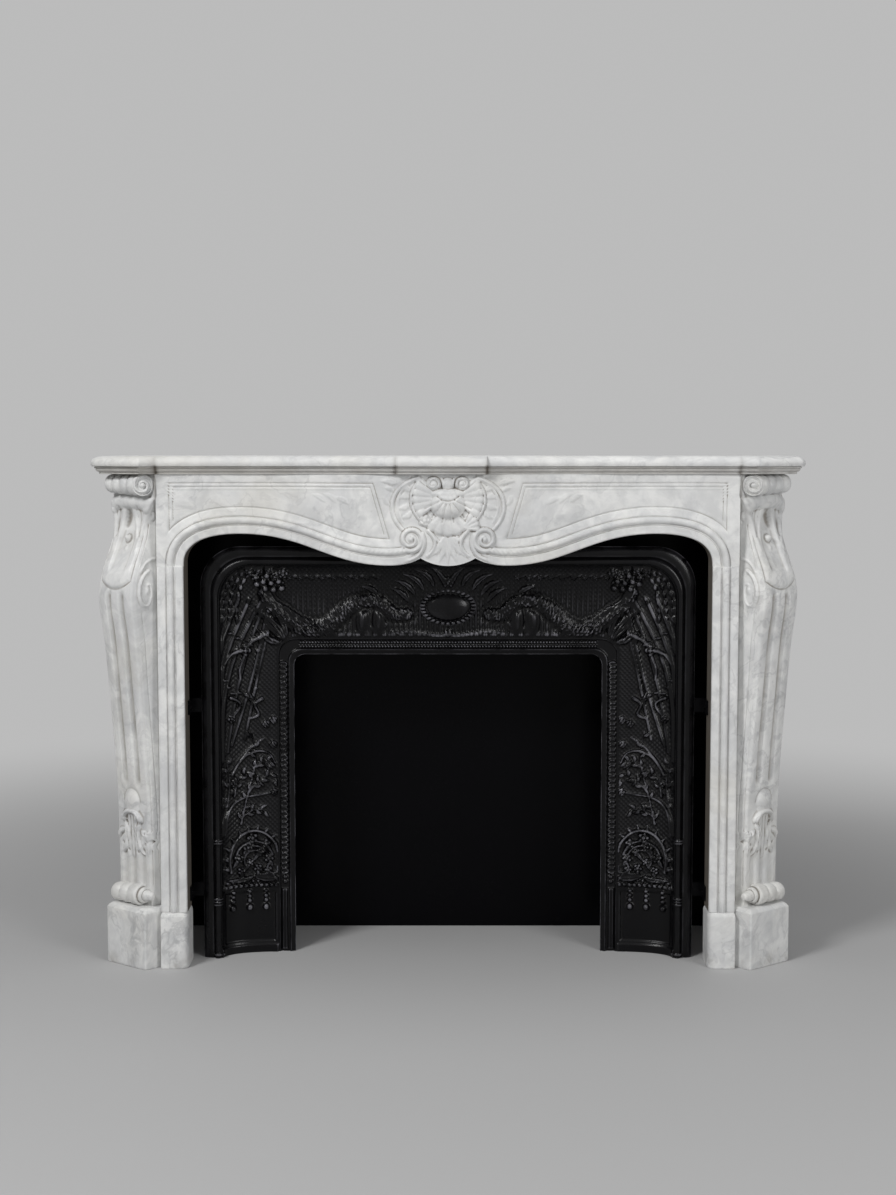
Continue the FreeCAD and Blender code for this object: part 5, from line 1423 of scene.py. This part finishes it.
def wreath_ornament(cast):
    """A hooped wreath of flowers over a row of leaves and pendants."""
    centre = np.array([424, 206])
    random = np.random.default_rng(7)
    cast.cord([centre + (cos * 56, sin * 66) for cos, sin in arc(-20, 200, 12)], 8, 9)
    for reach, first, last, count in ((42, 20, 164, 9), (32, 60, 222, 10), (22, -40, 140, 11)):
        cast.cord([centre + reach * np.array(way) for way in arc(first, last, count)], 6, 6.5)
    for k in range(13):
        turn = math.pi * (k / 12 * 1.2 - 0.1)
        outward = np.array([math.cos(turn), math.sin(turn)])
        aside = np.array([-outward[1], outward[0]])
        ring = centre + outward * (54, 62)
        cast.leaf(ring, ring + 10 * aside + 15 * outward, 9, 8, 2)
    for flower in ((14, 30), (-12, 18), (10, -4), (-32, 4), (-8, -18), (34, 6), (-26, 36), (-30, -22),
                   (28, -22), (4, 50)):
        place = centre + flower
        cast.bloom(place, random.uniform(10, 14), 10, 5, random.uniform(0, 6))
        cast.leaf(place, place + (random.uniform(-22, 22), -22), 11, 7)
    cast.leaf((425, 170), (362, 168), 15, 8, 5, lobes=4)
    cast.leaf((425, 174), (366, 182), 12, 7, 5)
    cast.leaf((425, 170), (484, 166), 15, 8, -5, lobes=4)
    for place in np.arange(372, 486, 11):
        cast.leaf((place, 154), (place + 9, 145), 9, 6)
        cast.dome((place, 160), 4, 4, 5)
    for place in (399, 434, 469):
        for up, size in ((136, 4.5), (126, 5), (116, 5.5)):
            cast.dome((place, up), size, size, 6)
        cast.dome((place, 101), 7, 8, 8)


def border_ornament(cast):
    """Beads in the channel round the fire opening, and collars on the frame's roll."""
    for up in np.arange(PLAIN_FOOT + 40, 640, BEAD_PITCH):
        cast.dome((FIRE_HALF + 22, up), 9.5, 6.6, 4)
        cast.cord([(FIRE_HALF + 29, up + 4), (FIRE_HALF + 21, up + 5), (FIRE_HALF + 15, up),
                   (FIRE_HALF + 21, up - 5), (FIRE_HALF + 29, up - 4)], 3.6, 6.5)
    for across in np.arange(FINE_PITCH / 2, 325, FINE_PITCH):
        cast.dome((across, FIRE_TOP + 26), 3.2, 3.4, 5)
        cast.dome((across, FIRE_TOP + 17), 3.2, 3.4, 5)
    for up in (PLAIN_FOOT + 26, PLAIN_FOOT + 16):
        cast.dome((FIRE_HALF + 22, up), 6, 5, 4)
    for up in (253, 258, 118, 124, 130, 8):
        cast.cord([(FIRE_HALF + 155, up), (FIRE_HALF + 171, up)], 4, 3)


def foot_panel(points, lines):
    """The plain foot below the ornament: a sunk panel with a raised lower band."""
    side = np.broadcast_to(lines[:, 0], points.shape[:2])
    up = points[..., 1]
    within = ease(42, 46, side) * ease(150, 146, side)
    panel = within * ease(22, 27, up) * ease(PLAIN_FOOT - 2, PLAIN_FOOT - 8, up)
    band = ease(36, 38, side) * ease(157, 155, side) * ease(20, 16, up)
    bar = ease(16, 19, side) * ease(30, 27, side) * ease(4, 7, up) * ease(PLAIN_FOOT + 4, PLAIN_FOOT - 2, up)
    return 3 * band - 3.5 * panel + 5 * bar


def insert_heights(points, lines):
    """The cast ornament over one casting, and a mask of the bare ground."""
    side = np.broadcast_to(lines[:, 0], points.shape[:2])
    cast = Relief(np.abs(points[..., 0]), points[..., 1])
    top_ornament(cast)
    corner_ornament(cast)
    side_ornament(cast)
    cove_end = SIDE_WIDTH - FRAME_WIDTH
    in_cove = ease(BORDER_WIDTH, BORDER_WIDTH + 4, side) * ease(cove_end, cove_end - 4, side)
    ornament = 1.35 * cast.grid() * in_cove
    border = Relief(np.abs(points[..., 0]), points[..., 1])
    border_ornament(border)
    heights = ornament + border.grid() + foot_panel(points, lines)
    ground = in_cove * ease(0.8, 0.2, ornament) * ease(PLAIN_FOOT, PLAIN_FOOT + 20, points[..., 1])
    return heights, ground


def medallion():
    """The oval boss: a smooth dome in a ring of gadroons."""
    profile = [(-9, 0), (-9, 0.6), (-9, 0.97), (0, 1.0), (3, 0.995), (6, 0.97), (8, 0.93), (9, 0.89),
               (8.6, 0.85), (7.4, 0.82), (5.5, 0.79), (4, 0.77), (3.2, 0.75), (3.6, 0.735), (5, 0.70),
               (7, 0.62), (9, 0.5), (10.5, 0.37), (11.5, 0.24), (12, 0.1), (12, 0)]
    half_width, half_height = MEDALLION_HALVES

    def shape(place, share, turn):
        ridge = np.abs(np.sin(15 * turn)) ** 0.6
        rise = place - 4.5 * (1 - ridge) * ease(0.77, 0.82, share) * ease(1.02, 0.97, share) * (place > 2)
        return np.stack([half_width * share * np.cos(turn), MEDALLION_FORWARD + rise,
                         MEDALLION_UP + half_height * share * np.sin(turn)], axis=1)

    return turned("medallion", profile, 180, shape)


def casting(name, points, front_lines, back_points, back_lines):
    """A casting from its carved front and its plain rear."""
    heights, ground = insert_heights(points, front_lines)
    front = cast_outwards(with_forward(points, front_lines), heights)
    rings = np.concatenate([front, with_forward(back_points, back_lines)], axis=1)
    bare = np.concatenate([ground, np.zeros(back_points.shape[:2])], axis=1)
    return wrapped(name, rings, 55, bare)


def stud(across, up):
    """A stud on the back of a casting, for the nut that holds a lug or plate there."""
    root = INSERT_FRONT - CASTING + 3

    def shape(place, radius, turn):
        return np.stack([across + radius * np.cos(turn), root - place, up + radius * np.sin(turn)], axis=1)

    return turned("stud", [(0, 0), (0, 2), (0, 4), (20, 4), (21, 3.2), (21, 0)], 16, shape)


def whole_width(points):
    """The right half of the top casting's rows and their mirror image."""
    return np.concatenate([points, points[-2::-1] * (-1, 1)])


def off_mitre(across, _along, up):
    """0 on the mitres, where two castings meet, and 1 a little away from them."""
    gap = np.abs(up - FIRE_TOP - MITRE_SLOPE * (np.abs(across) - FIRE_HALF)) / math.hypot(1, MITRE_SLOPE)
    return ease(2, 7, gap)


def make_insert():
    front_lines = insert_front()
    back_lines = insert_rear()
    side, over = surround_rows(front_lines)
    side_back, over_back = surround_rows(back_lines)
    right = casting("side_cast", side, front_lines, side_back, back_lines)
    right = joined("right_insert_cast", [right] + [stud(519, up) for up in (150, 553, 790)])
    mark_hollows(right, 8, 1.3, off_mitre)
    left = mirrored(right)
    top = casting("top_cast", whole_width(over), front_lines, whole_width(over_back), back_lines)
    top = joined("insert_top_cast", [top, medallion(), stud(425, 884), stud(-425, 884)])
    mark_hollows(top, 8, 1.3, off_mitre)
    dress(right, "right_insert_panel", INSERT_IRON)
    dress(left, "left_insert_panel", INSERT_IRON)
    dress(top, "insert_top_panel", INSERT_IRON)


# Build

make_shelf()
make_frieze()
make_consoles()
make_plinths()
make_slips()
make_insert()

for name, node_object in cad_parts.items():
    node_object.data.materials.clear()
    if name.endswith("side_return"):
        node_object.data.materials.append(SLIP_MARBLE[name.split("_")[0]])
    elif name == "back_plate":
        node_object.data.materials.append(SHEET_IRON)
    else:
        node_object.data.materials.append(FIXING_IRON)


# Floor, light and camera

PALE = (0.50, 0.50, 0.50, 1)
ROOM_TONE = (0.085, 0.085, 0.088, 1)
SOFTBOXES = (("key_softbox", (-2.4, -3.0, 3.4), (0, 0, 0.7), 1.2, 115),
             ("fill_softbox", (2.8, -3.6, 1.8), (0, 0, 0.7), 1.6, 65),
             ("top_softbox", (0.3, -0.2, 3.4), (0.3, -0.19, 0), 2.4, 26))
SENSOR_WIDTH = 36
PHOTO_FOCAL = 1784.5
PHOTO_HEIGHT = 1195
CAMERA_PLACE = (0, -3.8696, 1.108)
CAMERA_TILT = 4.8446


def seen_rays(w):
    """1 for the rays that show the background: to the camera, in gloss and through glass."""
    path = w.node("ShaderNodeLightPath").outputs
    seen = w.math("MAXIMUM", path["Is Camera Ray"], path["Is Glossy Ray"])
    return w.math("MAXIMUM", seen, path["Is Transmission Ray"])


def pale_floor():
    """A plane whose lit middle fades into the even tone of the background."""
    select()
    bpy.ops.mesh.primitive_plane_add(size=60)
    floor = bpy.context.object
    floor.name = "studio_floor"
    material = bpy.data.materials.new("pale_floor")
    material.use_nodes = True
    w = Wiring(material.node_tree)
    shader = material.node_tree.nodes["Principled BSDF"]
    shader.inputs["Base Color"].default_value = PALE
    shader.inputs["Roughness"].default_value = 0.7
    coords = w.node("ShaderNodeTexCoord").outputs["Object"]
    away = w.node("ShaderNodeVectorMath", {0: coords}, operation="LENGTH").outputs["Value"]
    even = w.node("ShaderNodeEmission", {"Color": PALE})
    far = w.times(w.step(away, 0.9, 3.2), seen_rays(w))
    mix = w.node("ShaderNodeMixShader", {0: far, 1: shader.outputs[0], 2: even.outputs[0]})
    w.feed(material.node_tree.nodes["Material Output"].inputs["Surface"], mix.outputs[0])
    floor.data.materials.append(material)


def studio_world():
    """An even pale background for the camera, and a dim room for the light."""
    world = bpy.data.worlds.new("studio")
    world.use_nodes = True
    w = Wiring(world.node_tree)
    background = world.node_tree.nodes["Background"].inputs
    w.feed(background["Color"], w.blend(seen_rays(w), ROOM_TONE, PALE))
    background["Strength"].default_value = 1.0
    bpy.context.scene.world = world


def soft_light(name, place, aim, size, power):
    data = bpy.data.lights.new(name, "AREA")
    data.energy = power
    data.size = size
    lamp = bpy.data.objects.new(name, data)
    bpy.context.collection.objects.link(lamp)
    lamp.location = place
    across, along, up = np.array(aim) - np.array(place)
    turn = math.atan2(along, across) - math.pi / 2
    lamp.rotation_euler = (math.atan2(math.hypot(across, along), -up), 0, turn)


def photo_camera():
    data = bpy.data.cameras.new("photo_camera")
    data.sensor_width = SENSOR_WIDTH
    data.lens = SENSOR_WIDTH * PHOTO_FOCAL / PHOTO_HEIGHT
    camera = bpy.data.objects.new("photo_camera", data)
    bpy.context.collection.objects.link(camera)
    camera.location = CAMERA_PLACE
    camera.rotation_euler = (math.radians(90 - CAMERA_TILT), 0, 0)
    bpy.context.scene.camera = camera


pale_floor()
studio_world()
for softbox in SOFTBOXES:
    soft_light(*softbox)
photo_camera()
bpy.context.scene.view_settings.view_transform = "Standard"
